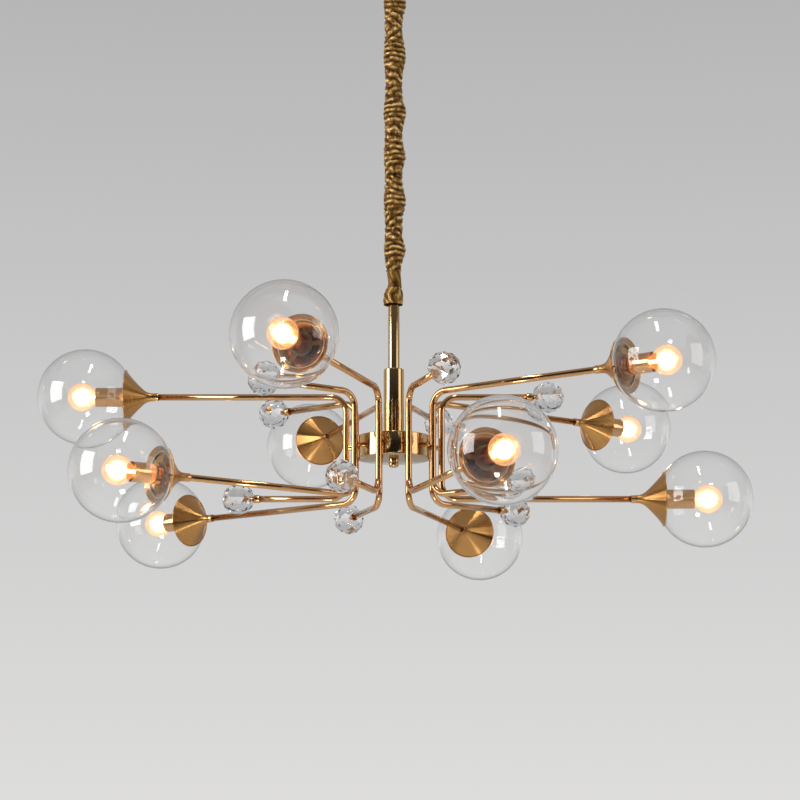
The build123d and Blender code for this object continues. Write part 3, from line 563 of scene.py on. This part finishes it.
finialSet = {"radius": 7.75 * mm, "height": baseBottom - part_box("hub_finial")[0].z, "round": 4 * mm, "foot": 5 * mm,
             "groove": 1.2 * mm, "grooveWide": 1 * mm, "grooveEdge": 0.5 * mm}
knobR = finialSet["radius"]
grooveR = knobR - finialSet["groove"]
knobLow = baseBottom - finialSet["height"]
grooveTop = baseBottom - finialSet["foot"]
grooveLow = grooveTop - finialSet["grooveWide"]
finialShape = bmesh.new()
verts = chained(finialShape, [(0, 0, knobLow), (knobR, 0, knobLow), (knobR, 0, grooveLow), (grooveR, 0, grooveLow),
                              (grooveR, 0, grooveTop), (knobR, 0, grooveTop), (knobR, 0, baseBottom),
                              (drumSet["bore"], 0, baseBottom)])
rounded(finialShape, verts[1], finialSet["round"], 6)
for corner in (2, 5):
    rounded(finialShape, verts[corner], finialSet["grooveEdge"], 3)
turned(finialShape, (0, 0, 0), (0, 0, 1), 40)
piece("hubFinial", finialShape, stemGold, "fixture", ["hub_finial"])
print("stem and hub made")

# arms: a ring of points drawn along the tube, with its two bends
armSet = {"reach": 74 * mm, "rise": 80 * mm, "radius": 5 * mm, "wall": 1 * mm, "bend": 24 * mm, "segments": 24,
          "bendSteps": 14}
headSet = {"ring": 480 * mm, "globe": 75 * mm, "glass": 2 * mm, "play": 0.3 * mm, "rim": 42 * mm,
           "rimRound": 0.4 * mm, "cupLong": 41 * mm, "cupWall": 1.2 * mm, "turnShare": 0.34, "turnFlare": 0.15,
           "nipple": 5 * mm, "nipplePlay": 0.05 * mm, "tubeGap": 4 * mm, "mouthStep": 7 * mm, "lipRound": 0.7 * mm,
           "bead": 0.9 * mm, "seat": 35.2 * mm, "seatBead": 0.95 * mm, "steps": 96, "globeSteps": 120}
headZ = armSet["rise"]
rimIn = headSet["rim"] - headSet["cupWall"] * sqrt(2)
rimX = headSet["ring"] - sqrt((headSet["globe"] + headSet["play"]) ** 2 - rimIn ** 2)
neckX = rimX - headSet["cupLong"]
tubeEnd = neckX - headSet["tubeGap"]
crystalSet = {"ring": 240 * mm, "radius": 25 * mm, "flat": 25 * mm * cos(pi / 12), "web": 4 * mm, "pin": 3 * mm,
              "pinDeep": 12 * mm, "tilt": 58, "brokenEdge": 0.25 * mm}
crystalX = crystalSet["ring"] - crystalSet["flat"]
footEnd = crystalX - crystalSet["web"]


def armShape():
    bm = bmesh.new()
    bend = armSet["bend"]
    start = Matrix.Translation((tubeEnd, 0, headZ)) @ Matrix.Rotation(pi / 2, 4, "Y")
    corner = armSet["reach"] + bend
    ring = startRing(bm, armSet["radius"], armSet["segments"], start)
    ring = runOn(bm, ring, (corner - tubeEnd, 0, 0))
    ring = bendOn(bm, ring, (corner, 0, headZ - bend), (0, -1, 0), pi / 2, armSet["bendSteps"])
    ring = runOn(bm, ring, (0, 0, 2 * (bend - headZ)))
    ring = bendOn(bm, ring, (corner, 0, bend - headZ), (0, -1, 0), pi / 2, armSet["bendSteps"])
    runOn(bm, ring, (footEnd - corner, 0, 0))
    closeUp(bm)
    # the tube is open, so its skin is turned outwards by a face of the long leg
    middleX = (tubeEnd + corner) / 2
    probe = next(face for face in bm.faces if abs(face.calc_center_median().x - middleX) < 0.1)
    middle = probe.calc_center_median()
    if probe.normal.dot(Vector((0, middle.y, middle.z - headZ))) < 0:
        bmesh.ops.reverse_faces(bm, faces=bm.faces[:])
    return bm


def thicken(made, name, thickness):
    wall = made.modifiers.new(name, "SOLIDIFY")
    wall.thickness = thickness
    wall.offset = -1


for number, place in enumerate(armPlaces, 1):
    tube = piece(f"arm{number:02d}", copies(armShape(), [place]), polishedGold, "fixture", [f"arm_{number:02d}"])
    thicken(tube, "tubeWall", armSet["wall"])

# studs between drum and arms
studSet = {"radius": 4 * mm, "bore": 3 * mm, "start": 47 * mm, "drumGap": 0.3 * mm, "tubeGap": 2.6 * mm}
studEnd = armSet["reach"] - studSet["tubeGap"]
studShape = onHead([(studSet["start"], studSet["bore"]), (studSet["start"], studSet["radius"]),
                    (drumSet["radius"] - studSet["drumGap"], studSet["radius"]), (studEnd, studSet["radius"]),
                    (studEnd, studSet["bore"])], {}, 0, 32)
piece("armStuds", copies(studShape, armPlaces), polishedGold, "fixture", ["arm_studs"])

# collars at both ends of a tube
collarSet = {"radius": 6.25 * mm, "bore": 5.05 * mm, "lap": 5 * mm, "backEdge": 0.6 * mm, "cupEdge": 0.3 * mm,
             "crystalEdge": 0.8 * mm, "steps": 40}
collarR, collarBore = collarSet["radius"], collarSet["bore"]
headBack, footBack = tubeEnd - collarSet["lap"], footEnd - collarSet["lap"]
headCollar = onHead([(headBack, collarBore), (headBack, collarR), (neckX, collarR), (neckX, collarBore)],
                    {1: collarSet["backEdge"], 2: collarSet["cupEdge"]}, headZ, collarSet["steps"])
piece("headCollars", copies(headCollar, armPlaces), polishedGold, "fixture", ["head_collars"])
pinEnd = crystalX + crystalSet["pinDeep"]
footCollar = onHead([(footBack, collarBore), (footBack, collarR), (crystalX, collarR), (crystalX, crystalSet["pin"]),
                     (pinEnd, crystalSet["pin"]), (pinEnd, 0), (footEnd, 0), (footEnd, collarBore)],
                    {1: collarSet["backEdge"], 2: collarSet["crystalEdge"]}, -headZ, collarSet["steps"])
piece("crystalCollars", copies(footCollar, armPlaces), polishedGold, "fixture", ["crystal_collars"])
print("arms made")


def headBead(bm, out, radius, bead, segments):
    # a round bead turned about the head of the arm
    known = set(bm.edges)
    verts = bmesh.ops.create_circle(bm, cap_ends=False, radius=bead, segments=segments,
                                    matrix=Matrix.Translation((out, 0, headZ + radius))
                                    @ Matrix.Rotation(pi / 2, 4, "X"))["verts"]
    edges = [edge for edge in bm.edges if edge not in known]
    bmesh.ops.spin(bm, geom=verts + edges, cent=(0, 0, headZ), axis=(1, 0, 0), angle=2 * pi, steps=headSet["steps"],
                   use_merge=True)


# trumpet cups: two arcs outside, the same two inside, and a rounded rim between them
def cupShape():
    bm = bmesh.new()
    neckR = headSet["nipple"] + headSet["nipplePlay"] + headSet["cupWall"]
    ends = []
    for inset in (0, headSet["cupWall"]):
        start = bm.verts.new((neckX, 0, headZ + neckR - inset))
        turnAt = (rimX - (1 - headSet["turnShare"]) * headSet["cupLong"],
                  0, headZ + neckR + headSet["turnFlare"] * (headSet["rim"] - neckR))
        slope = 2 * atan2(turnAt[2] - headZ - neckR, turnAt[0] - neckX)
        across = Vector((sin(slope), 0, -cos(slope))) * inset
        last, heading = tangentArc(bm, start, (1, 0, 0), Vector(turnAt) + across, 8)
        flare = 2 * atan2(headZ + headSet["rim"] - turnAt[2], rimX - turnAt[0]) - slope
        edge = Vector((rimX, 0, headZ + headSet["rim"])) + Vector((sin(flare), 0, -cos(flare))) * inset
        last, heading = tangentArc(bm, last, heading, edge, 16)
        ends.append((start, last))
    bm.edges.new((ends[0][1], ends[1][1]))
    bm.edges.new((ends[0][0], ends[1][0]))
    for _, last in ends:
        rounded(bm, last, headSet["rimRound"], 2)
    turned(bm, (0, 0, headZ), (1, 0, 0), headSet["steps"])
    headBead(bm, rimX, headSet["rim"], headSet["bead"], 12)
    latheUvOf(bm, headZ)
    return bm


piece("trumpetCups", copies(cupShape(), armPlaces), spunGold, "fixture", ["cups"])


# seat ring inside each cup, just outside the mouth of the globe, in a lighter gold that paints a bright highlight
# line
def seatShape():
    bm = bmesh.new()
    glassR = headSet["globe"] + headSet["play"]
    seatX = headSet["ring"] - sqrt(glassR ** 2 - headSet["seat"] ** 2) - headSet["seatBead"]
    headBead(bm, seatX, headSet["seat"], headSet["seatBead"], 10)
    bmesh.ops.recalc_face_normals(bm, faces=bm.faces[:])
    return bm


piece("seatRings", copies(seatShape(), armPlaces), seatHighlightGold, "fixture", ())


# globes: outer and inner wall in one skin, joined round the lip of the mouth
def globeShape():
    bm = bmesh.new()
    centre = (headSet["ring"], 0, headZ)
    mouthR = rimIn - headSet["mouthStep"]
    back = sqrt(headSet["globe"] ** 2 - mouthR ** 2)
    lips = []
    for radius in (headSet["globe"], headSet["globe"] - headSet["glass"]):
        lip = bm.verts.new((headSet["ring"] - back, 0, headZ + sqrt(radius ** 2 - back ** 2)))
        arcOn(bm, lip, centre, -(pi / 2 + asin(back / radius)), 68)
        lips.append(lip)
    bm.edges.new(lips)
    for lip in lips:
        rounded(bm, lip, headSet["lipRound"], 3)
    turned(bm, (0, 0, headZ), (1, 0, 0), headSet["globeSteps"])
    return bm


for number, place in enumerate(armPlaces, 1):
    piece(f"globe{number:02d}", copies(globeShape(), [place]), globeGlass, "fixture", [f"globe_{number:02d}"])
print("cups and globes made")

# lampholder sleeves: a turned can with a rolled front
holderSet = {"back": 17.8 * mm, "long": 64.8 * mm, "radius": 15 * mm, "wall": 0.8 * mm, "bore": 5.05 * mm,
             "socket": 47 * mm, "backEdge": 1 * mm, "frontEdge": 0.35 * mm, "innerEdge": 0.3 * mm,
             "roll": 1.4 * mm, "rollFoot": 1.6 * mm, "rollStep": 0.25 * mm}
holderX = rimX - holderSet["back"]
holderEnd = holderX + holderSet["long"]
holderFloor = holderX + holderSet["wall"]
can = holderSet["radius"]
canIn = can - holderSet["wall"]
holderShape = onHead([(holderX, holderSet["bore"]), (holderX, can),
                      (holderEnd - holderSet["rollFoot"], can - holderSet["rollStep"]),
                      (holderEnd - holderSet["roll"], can), (holderEnd, can), (holderEnd, canIn),
                      (holderFloor, canIn), (holderFloor, holderSet["bore"])],
                     {1: holderSet["backEdge"], 4: holderSet["frontEdge"], 5: holderSet["innerEdge"]}, headZ, 56)
piece("holderSleeves", copies(holderShape, armPlaces), polishedGold, "fixture", ["holder_sleeves"])

# lamps: glass envelope, screw cap with its thread, and the lit core
lampSet = {"screwed": 16.5 * mm, "long": 78 * mm, "radius": 22.5 * mm, "wall": 0.8 * mm, "cap": 7 * mm,
           "capLong": 17.5 * mm, "capPlay": 0.05 * mm, "core": 15.5 * mm, "stalk": 3 * mm, "stalkTaper": 0.7,
           "stalkEmber": 0.8, "shells": (1, 0.95, 0.9, 0.85, 0.8, 0.74)}
capSet = {"tip": 4.5 * mm, "shoulder": 6 * mm, "shoulderAt": 2 * mm, "threads": 5, "threadAt": 2.6 * mm,
          "pitch": 2.4 * mm, "root": 6.2 * mm, "rise": 1.2 * mm, "groove": 6.3 * mm, "grooveAt": 2.2 * mm,
          "bandAt": 1.6 * mm, "round": 0.45 * mm}
lampStart = holderFloor + holderSet["socket"] - lampSet["screwed"]
lampMid = lampStart + lampSet["long"] - lampSet["radius"]
glassX = lampStart + lampSet["capLong"] + lampSet["capPlay"]


def envelopeShape():
    bm = bmesh.new()
    necks = []
    for inset in (0, lampSet["wall"]):
        radius = lampSet["radius"] - inset
        shoulder = bm.verts.new((lampMid - radius * cos(pi / 4), 0, headZ + radius * sin(pi / 4)))
        neck, _ = tangentArc(bm, shoulder, (-1, 0, -1), (glassX, 0, headZ + lampSet["cap"] - inset), 12)
        arcOn(bm, shoulder, (lampMid, 0, headZ), -3 * pi / 4, 28)
        necks.append(neck)
    bm.edges.new(necks)
    turned(bm, (0, 0, headZ), (1, 0, 0), 56)
    return bm


def coreShape():
    bm = bmesh.new()
    emberLayer = bm.loops.layers.color.new("ember")

    def paint(known, heat):
        for face in bm.faces:
            if face not in known:
                for loop in face.loops:
                    loop[emberLayer] = (heat, heat, heat, 1)

    for shell, share in enumerate(lampSet["shells"]):
        known = set(bm.faces)
        bmesh.ops.create_uvsphere(bm, u_segments=40, v_segments=24, radius=lampSet["core"] * share,
                                  matrix=Matrix.Translation((lampMid, 0, headZ)))
        paint(known, shell / (len(lampSet["shells"]) - 1))
    stalkLong = lampMid - lampSet["core"] * lampSet["shells"][-1] - glassX
    known = set(bm.faces)
    bmesh.ops.create_cone(bm, cap_ends=True, segments=24, radius1=lampSet["stalk"],
                          radius2=lampSet["stalk"] * lampSet["stalkTaper"], depth=stalkLong,
                          matrix=Matrix.Translation((glassX + stalkLong / 2, 0, headZ))
                          @ Matrix.Rotation(pi / 2, 4, "Y"))
    paint(known, lampSet["stalkEmber"])
    return bm


def capShape():
    capEnd = glassX - lampSet["capPlay"]
    profile = [(lampStart, 0), (lampStart, capSet["tip"]), (lampStart + capSet["shoulderAt"], capSet["shoulder"])]
    for thread in range(capSet["threads"]):  # rolled thread
        base = lampStart + capSet["threadAt"] + thread * capSet["pitch"]
        profile += [(base, capSet["root"]), (base + capSet["rise"], lampSet["cap"])]
    profile += [(glassX - capSet["grooveAt"], capSet["groove"]), (glassX - capSet["bandAt"], lampSet["cap"]),
                (capEnd, lampSet["cap"]), (capEnd, 0)]
    bm = bmesh.new()
    verts = chained(bm, [(out, 0, headZ + radius) for out, radius in profile])
    for vert in verts[3:-4]:
        rounded(bm, vert, capSet["round"], 2)
    turned(bm, (0, 0, headZ), (1, 0, 0), 40)
    return bm


for number, place in enumerate(armPlaces, 1):
    body = f"lamp_{number:02d}"
    piece(f"lampGlass{number:02d}", copies(envelopeShape(), [place]), lampGlass, body, [body])
    piece(f"lampCore{number:02d}", copies(coreShape(), [place]), litCore, body, ())
    piece(f"lampCap{number:02d}", copies(capShape(), [place]), plainSteel, body, ())
print("lampholders and lamps made")


# crystals: a ball cut in three-cornered flats, edges just broken, flat where its collar sits
def crystalShape():
    bm = bmesh.new()
    bmesh.ops.create_icosphere(bm, subdivisions=2, radius=crystalSet["radius"])
    bmesh.ops.rotate(bm, verts=bm.verts[:], cent=(0, 0, 0),
                     matrix=Matrix.Rotation(radians(crystalSet["tilt"]), 3, "Y"))
    bmesh.ops.bisect_plane(bm, geom=bm.verts[:] + bm.edges[:] + bm.faces[:], plane_co=(-crystalSet["flat"], 0, 0),
                           plane_no=(-1, 0, 0), clear_outer=True)
    rim = [edge for edge in bm.edges if edge.is_boundary]
    bmesh.ops.contextual_create(bm, geom=rim)
    bmesh.ops.bevel(bm, geom=bm.edges[:], offset=crystalSet["brokenEdge"], segments=1, profile=0.5, affect="EDGES",
                    material=-1)
    bmesh.ops.translate(bm, verts=bm.verts[:], vec=(crystalSet["ring"], 0, -headZ))
    bmesh.ops.recalc_face_normals(bm, faces=bm.faces[:])
    return bm


piece("cutCrystals", copies(crystalShape(), armPlaces), crystalGlass, "fixture", ["crystals"],
      sharp=0)
print("crystals made")

# gathered sleeve: a drawn tube whose rings are pushed in and out into slanting folds
sleeveLow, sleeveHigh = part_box("chain_sleeve")
sleeveSet = {"columns": 72, "rings": 620, "thick": 0.7 * mm, "hem": 15.6 * mm, "hemCurl": 0.7 * mm,
             "hemLean": -1.1 * mm, "tieFrom": 27 * mm, "tieTo": 54 * mm, "tieR": 9.7 * mm, "tieLean": 1.4 * mm,
             "necks": (54, 122, 206, 280, 356, 457, 531, 604.5),
             "neckR": (10.6, 12.4, 12, 12.6, 12.2, 12.8, 12.2, 12.4),
             "fullR": (16.2, 16.8, 16.4, 17, 16.6, 17, 16), "fullLean": 1.8, "neckLean": -0.6,
             "rollPitch": 8.4 * mm, "rollRise": 3.9 * mm, "slantPitch": 13.5 * mm, "slantRise": 4.3 * mm,
             "foldCrown": 0.55, "foldMid": 0.6, "seed": 11.3, "uvRound": 0.017, "uvAlong": 1.5}
sleeveLong = sleeveHigh.z - sleeveLow.z


def cloudAt(turn, up, around, along, seed):
    return noise.noise(Vector((cos(turn) * around, sin(turn) * around, up * along + seed)))


def crumpleAt(turn, up):
    # small sharp dents, -1 to 1
    return 1 - 4 * abs(cloudAt(turn, up, 2.6, 105, 3.1)) + 0.5 * cloudAt(turn, up, 5, 260, 8.2)


def pouchAt(up, turn, dent):
    # the bell over the stem loop
    share = up / sleeveSet["tieFrom"]
    dome = sqrt(max(0, 1 - share ** 2.4))
    wander = cloudAt(turn, up, 1, 40, sleeveSet["seed"])
    pleat = abs(sin(3 * turn + 4 * wander + 2 * share)) ** 0.7
    radius = sleeveSet["tieR"] + (sleeveSet["hem"] - sleeveSet["tieR"]) * dome
    radius -= sleeveSet["hemCurl"] * (1 - share) ** 8
    radius += (pleat - 0.6) * mm * (0.5 + 2.4 * share * dome) + dent * 0.3 * mm
    return radius, 0.15 + 0.65 * pleat + 0.1 * dent, sleeveSet["hemLean"] * (1 - share * share)


def tiedAt(up, turn, dent):
    # drawn in by its tie
    share = (up - sleeveSet["tieFrom"]) / (sleeveSet["tieTo"] - sleeveSet["tieFrom"])
    pleat = abs(sin(2.5 * turn + 60 * up + 3 * cloudAt(turn, up, 0.9, 35, sleeveSet["seed"]))) ** 0.6
    knot = max(0, 1 - share / 0.3)
    radius = sleeveSet["tieR"] + (pleat * 0.8 + 1.6 * knot * (pleat - 0.2) + 0.7 * share ** 4) * mm
    radius += dent * 0.25 * mm
    return radius, 0.1 + 0.6 * pleat + 0.1 * dent, sleeveSet["tieLean"] * sin(pi * min(1, 0.2 + share))


def gatheredAt(up, turn, dent):
    # swells between the necks: level rolls where it bunches, slanting ones that cross where it is drawn thin
    necks, seed = sleeveSet["necks"], sleeveSet["seed"]
    gather = max(index for index in range(len(necks) - 1) if up >= necks[index] * mm or index == 0)
    share = min(1, (up / mm - necks[gather]) / (necks[gather + 1] - necks[gather]))
    swell = exp(-((share - 0.5 - 0.06 * sin(gather * 1.7)) / 0.25) ** 2)
    slim = (sleeveSet["neckR"][gather] * (1 - share) + sleeveSet["neckR"][gather + 1] * share) * mm
    radius = slim + (sleeveSet["fullR"][gather] * mm - slim) * swell
    phase = (2 * pi * up / sleeveSet["rollPitch"] + 0.9 * sin(turn + 1.9 * gather)
             + 3 * cloudAt(turn, up, 0.8, 26, seed))
    roll = abs(sin(phase / 2)) ** sleeveSet["foldCrown"]
    held = min(1, max(0.15, 0.75 + 0.9 * cloudAt(turn, up, 1.1, 60, seed + 7)))
    way = 1 if share > 0.5 else -1
    phase = (2 * pi * up / sleeveSet["slantPitch"] + way * 4.6 * sin(turn + 0.8 * gather + 1.2)
             + 2.4 * cloudAt(turn, up, 1.2, 30, seed + 15))
    slant = abs(sin(phase / 2)) ** sleeveSet["foldCrown"]
    loose = min(1, max(0.2, 0.8 + 0.9 * cloudAt(turn, up, 1.3, 45, seed + 22)))
    rollRise = sleeveSet["rollRise"] * held * (0.25 + 0.75 * swell)
    slantRise = sleeveSet["slantRise"] * loose * (1 - swell) ** 0.7
    middle = sleeveSet["foldMid"]
    radius += rollRise * (roll - middle) + slantRise * (slant - middle) + dent * 0.7 * mm
    depth = (rollRise * roll + slantRise * slant) / (rollRise + slantRise)
    lean = (sleeveSet["fullLean"] * swell + sleeveSet["neckLean"]) * mm
    return radius, 0.05 + 0.8 * depth ** 1.6 + 0.14 * dent, lean


def sleeveAt(up, turn):
    # radius at a height above the hem, how far the cloth stands out of its crease (0 to 1), which paints shade into
    # creases and highlight onto crests, and the sideways lean
    shapeAt = pouchAt if up < sleeveSet["tieFrom"] else tiedAt if up < sleeveSet["tieTo"] else gatheredAt
    return shapeAt(up, turn, crumpleAt(turn, up))


sleeveShape = bmesh.new()
hemRing = startRing(sleeveShape, sleeveSet["hem"], sleeveSet["columns"], Matrix.Translation((0, 0, sleeveLow.z)))
bmesh.ops.spin(sleeveShape, geom=hemRing + sleeveShape.verts[:], cent=(0, 0, 0), axis=(0, 0, 1), angle=0,
               dvec=(0, 0, sleeveLong / sleeveSet["rings"]), steps=sleeveSet["rings"])
closeUp(sleeveShape)
clothLayer = sleeveShape.loops.layers.uv.new("cloth")
# the stand-out is kept as a colour attribute that paints shade into creases and highlight on crests
foldShadingLayer = sleeveShape.loops.layers.color.new("foldShading")
foldShadingOf = {}
clothOf = {}
for vert in sleeveShape.verts:
    turn = atan2(vert.co.y, vert.co.x)
    up = vert.co.z - sleeveLow.z
    radius, foldShading, lean = sleeveAt(up, turn)
    foldShadingOf[vert] = min(1, max(0, foldShading))
    clothOf[vert] = (turn, up)
    vert.co.x, vert.co.y = radius * cos(turn) + lean, radius * sin(turn)
for face in sleeveShape.faces:
    home = max(clothOf[vert][0] for vert in face.verts)
    for loop in face.loops:
        turn, up = clothOf[loop.vert]
        if home - turn > pi:
            turn += 2 * pi
        loop[clothLayer].uv = (turn * sleeveSet["uvRound"], up * sleeveSet["uvAlong"])
        loop[foldShadingLayer] = (foldShadingOf[loop.vert],) * 3 + (1,)
sleeveShape.normal_update()
probe = sleeveShape.faces[0]
if probe.normal.dot(Vector((probe.calc_center_median().x, probe.calc_center_median().y, 0))) < 0:
    bmesh.ops.reverse_faces(sleeveShape, faces=sleeveShape.faces[:])
print("sleeve cloth:", round(sum(face.calc_area() for face in sleeveShape.faces), 4), "square metres")
sleeve = piece("chainSleeve", sleeveShape, sleeveSatin, "chain", ["chain_sleeve"], sharp=80)
thicken(sleeve, "clothWall", sleeveSet["thick"])
print("sleeve made")

# finishes of the CAD pieces that stay
keptFinish = {"ceiling_bracket": plainSteel, "canopy_studs": plainSteel, "canopy_loop_nut": plainSteel,
              # the globe clips take the darkened bronze, painted shade that hides them inside the cups
              "stud_nuts": plainSteel, "globe_clips": clipShadeBronze, "tie_rod": plainSteel,
              "terminal_block": whitePlastic, "wire_connector": whitePlastic, "lamp_sockets": creamPlastic,
              "supply_cable": cablePlastic, "arm_leads": cablePlastic}
for name, finish in keptFinish.items():
    nodes[name].data.materials.clear()
    nodes[name].data.materials.append(finish)

# stage: pale floor, dark studio wall that only gloss sees, pale world, soft boxes and a ceiling fill
stageSet = {"floorZ": -2.5, "floorR": 40, "floor": (0.68, 0.68, 0.675), "floorGlow": 0.12,
            "wallR": 5.5, "wallTurn": 1.3 * pi, "wallHeights": (-4, 10), "wallFadeTop": 6.5,
            "wallTones": ((0, (0.02, 0.02, 0.022)), (0.35, (0.03, 0.03, 0.031)), (0.58, (0.08, 0.08, 0.08)),
                          (0.78, (0.22, 0.22, 0.22)), (0.92, (0.5, 0.5, 0.5))),
            "horizon": (0.74, 0.735, 0.73), "zenith": (0.42, 0.415, 0.42), "zenithFrom": 0.42, "fill": 0.42}


def seenRays(tree, x, y):
    # 1 for what the camera, gloss and glass see
    path = addNode(tree, "ShaderNodeLightPath", (x, y))
    some = addNode(tree, "ShaderNodeMath", (x + 200, y), operation="ADD")
    every = addNode(tree, "ShaderNodeMath", (x + 400, y), operation="ADD", use_clamp=True)
    wire(tree, (path, "Is Camera Ray", some, 0), (path, "Is Glossy Ray", some, 1), (some, 0, every, 0),
         (path, "Is Transmission Ray", every, 1))
    return every


def stagePiece(name, bm, finish):
    mesh = bpy.data.meshes.new(name)
    bm.to_mesh(mesh)
    bm.free()
    mesh.materials.append(finish)
    made = bpy.data.objects.new(name, mesh)
    scene.collection.objects.link(made)
    return made


floorShape = bmesh.new()
bmesh.ops.create_circle(floorShape, cap_ends=True, radius=stageSet["floorR"], segments=64,
                        matrix=Matrix.Translation((0, 0, stageSet["floorZ"])))
floorTone = (*stageSet["floor"], 1)
floorFinish, tree, shader = newFinish("floorPaper", {"Base Color": floorTone, "Emission Color": floorTone,
                                                     "Roughness": 0.9})
floorGlow = addNode(tree, "ShaderNodeMath", (-400, 0), {1: stageSet["floorGlow"]}, operation="MULTIPLY")
wire(tree, (seenRays(tree, -1000, 0), 0, floorGlow, 0), (floorGlow, 0, shader, "Emission Strength"))
stagePiece("studioFloor", floorShape, floorFinish)

wallShape = bmesh.new()
wallStart = stageSet["wallTurn"] / 2 - pi / 2
wallBack = stageSet["wallR"] * sin(wallStart)
chained(wallShape, [(stageSet["wallR"] * cos(wallStart), wallBack, height) for height in stageSet["wallHeights"]])
bmesh.ops.spin(wallShape, geom=wallShape.verts[:] + wallShape.edges[:], cent=(0, 0, 0), axis=(0, 0, -1),
               angle=stageSet["wallTurn"], steps=48)
# dark behind the camera, pale where it meets the backdrop
wallFinish, tree, shader = newFinish("wallCloth", {"Base Color": (0, 0, 0, 1), "Specular IOR Level": 0,
                                                   "Roughness": 1, "Emission Strength": 1})
wallPlace = addNode(tree, "ShaderNodeTexCoord", (-1000, 0))
wallSplit = addNode(tree, "ShaderNodeSeparateXYZ", (-800, 0))
wallSpan = addNode(tree, "ShaderNodeMapRange", (-600, 0), {"From Min": -stageSet["wallR"], "From Max": wallBack})
wallRise = addNode(tree, "ShaderNodeMapRange", (-600, -300), {"From Min": 0, "From Max": stageSet["wallFadeTop"]})
wallRamp = ramp(tree, (-400, 0), [*stageSet["wallTones"], (1, stageSet["horizon"])])
wallFade = addNode(tree, "ShaderNodeMix", (-150, 0), {"B": (*stageSet["zenith"], 1)}, data_type="RGBA")
wire(tree, (wallPlace, "Object", wallSplit, "Vector"), (wallSplit, "Y", wallSpan, "Value"),
     (wallSplit, "Z", wallRise, "Value"), (wallSpan, "Result", wallRamp, "Fac"),
     (wallRise, "Result", wallFade, "Factor"), (wallRamp, "Color", wallFade, "A"),
     (wallFade, "Result", shader, "Emission Color"))
studioWall = stagePiece("studioWall", wallShape, wallFinish)
studioWall.visible_camera = False
studioWall.visible_diffuse = False
studioWall.visible_transmission = False
studioWall.visible_shadow = False

world = bpy.data.worlds.new("studioWorld")
world.use_nodes = True
scene.world = world
tree = world.node_tree
skyPlace = addNode(tree, "ShaderNodeTexCoord", (-1100, 0))
skySplit = addNode(tree, "ShaderNodeSeparateXYZ", (-900, 0))
skyRamp = ramp(tree, (-700, 0), [(0.0, stageSet["horizon"]), (stageSet["zenithFrom"], stageSet["zenith"]),
                                 (1.0, stageSet["zenith"])])
skyMix = addNode(tree, "ShaderNodeMix", (-300, 200), {"A": (stageSet["fill"],) * 3 + (1,)}, data_type="RGBA")
wire(tree, (skyPlace, "Generated", skySplit, "Vector"), (skySplit, "Z", skyRamp, "Fac"),
     (seenRays(tree, -1100, 400), 0, skyMix, "Factor"), (skyRamp, "Color", skyMix, "B"),
     (skyMix, "Result", tree.nodes["Background"], "Color"))

# each light: place, size, power, shown by gloss, shown through glass
lightSet = {"leftBox": ((-2.7, -1.0, hubZ + 0.4), (1.5, 1.7), 52, True, True),
            "rightBox": ((2.7, -1.0, hubZ + 0.4), (1.4, 1.6), 13, True, True),
            "stripBox": ((-0.05, -0.95, hubZ + 2.05), (0.16, 1.1), 11, True, True),
            "lowBox": ((-0.15, -1.1, hubZ - 1.3), (0.26, 0.26), 4, True, True),
            "ceilingFill": ((0.3, 0.4, 1.3), (2.4, 2.4), 45, False, False)}
for name, (place, size, power, mirrored, throughGlass) in lightSet.items():
    boxData = bpy.data.lights.new(name, "AREA")
    boxData.shape = "RECTANGLE"
    boxData.size, boxData.size_y = size
    boxData.energy = power
    box = bpy.data.objects.new(name, boxData)
    box.location = place
    box.rotation_euler = (Vector((0, 0, hubZ)) - Vector(place)).to_track_quat("-Z", "Y").to_euler()
    box.visible_glossy = mirrored
    box.visible_transmission = throughGlass
    scene.collection.objects.link(box)
print("stage and lights set")
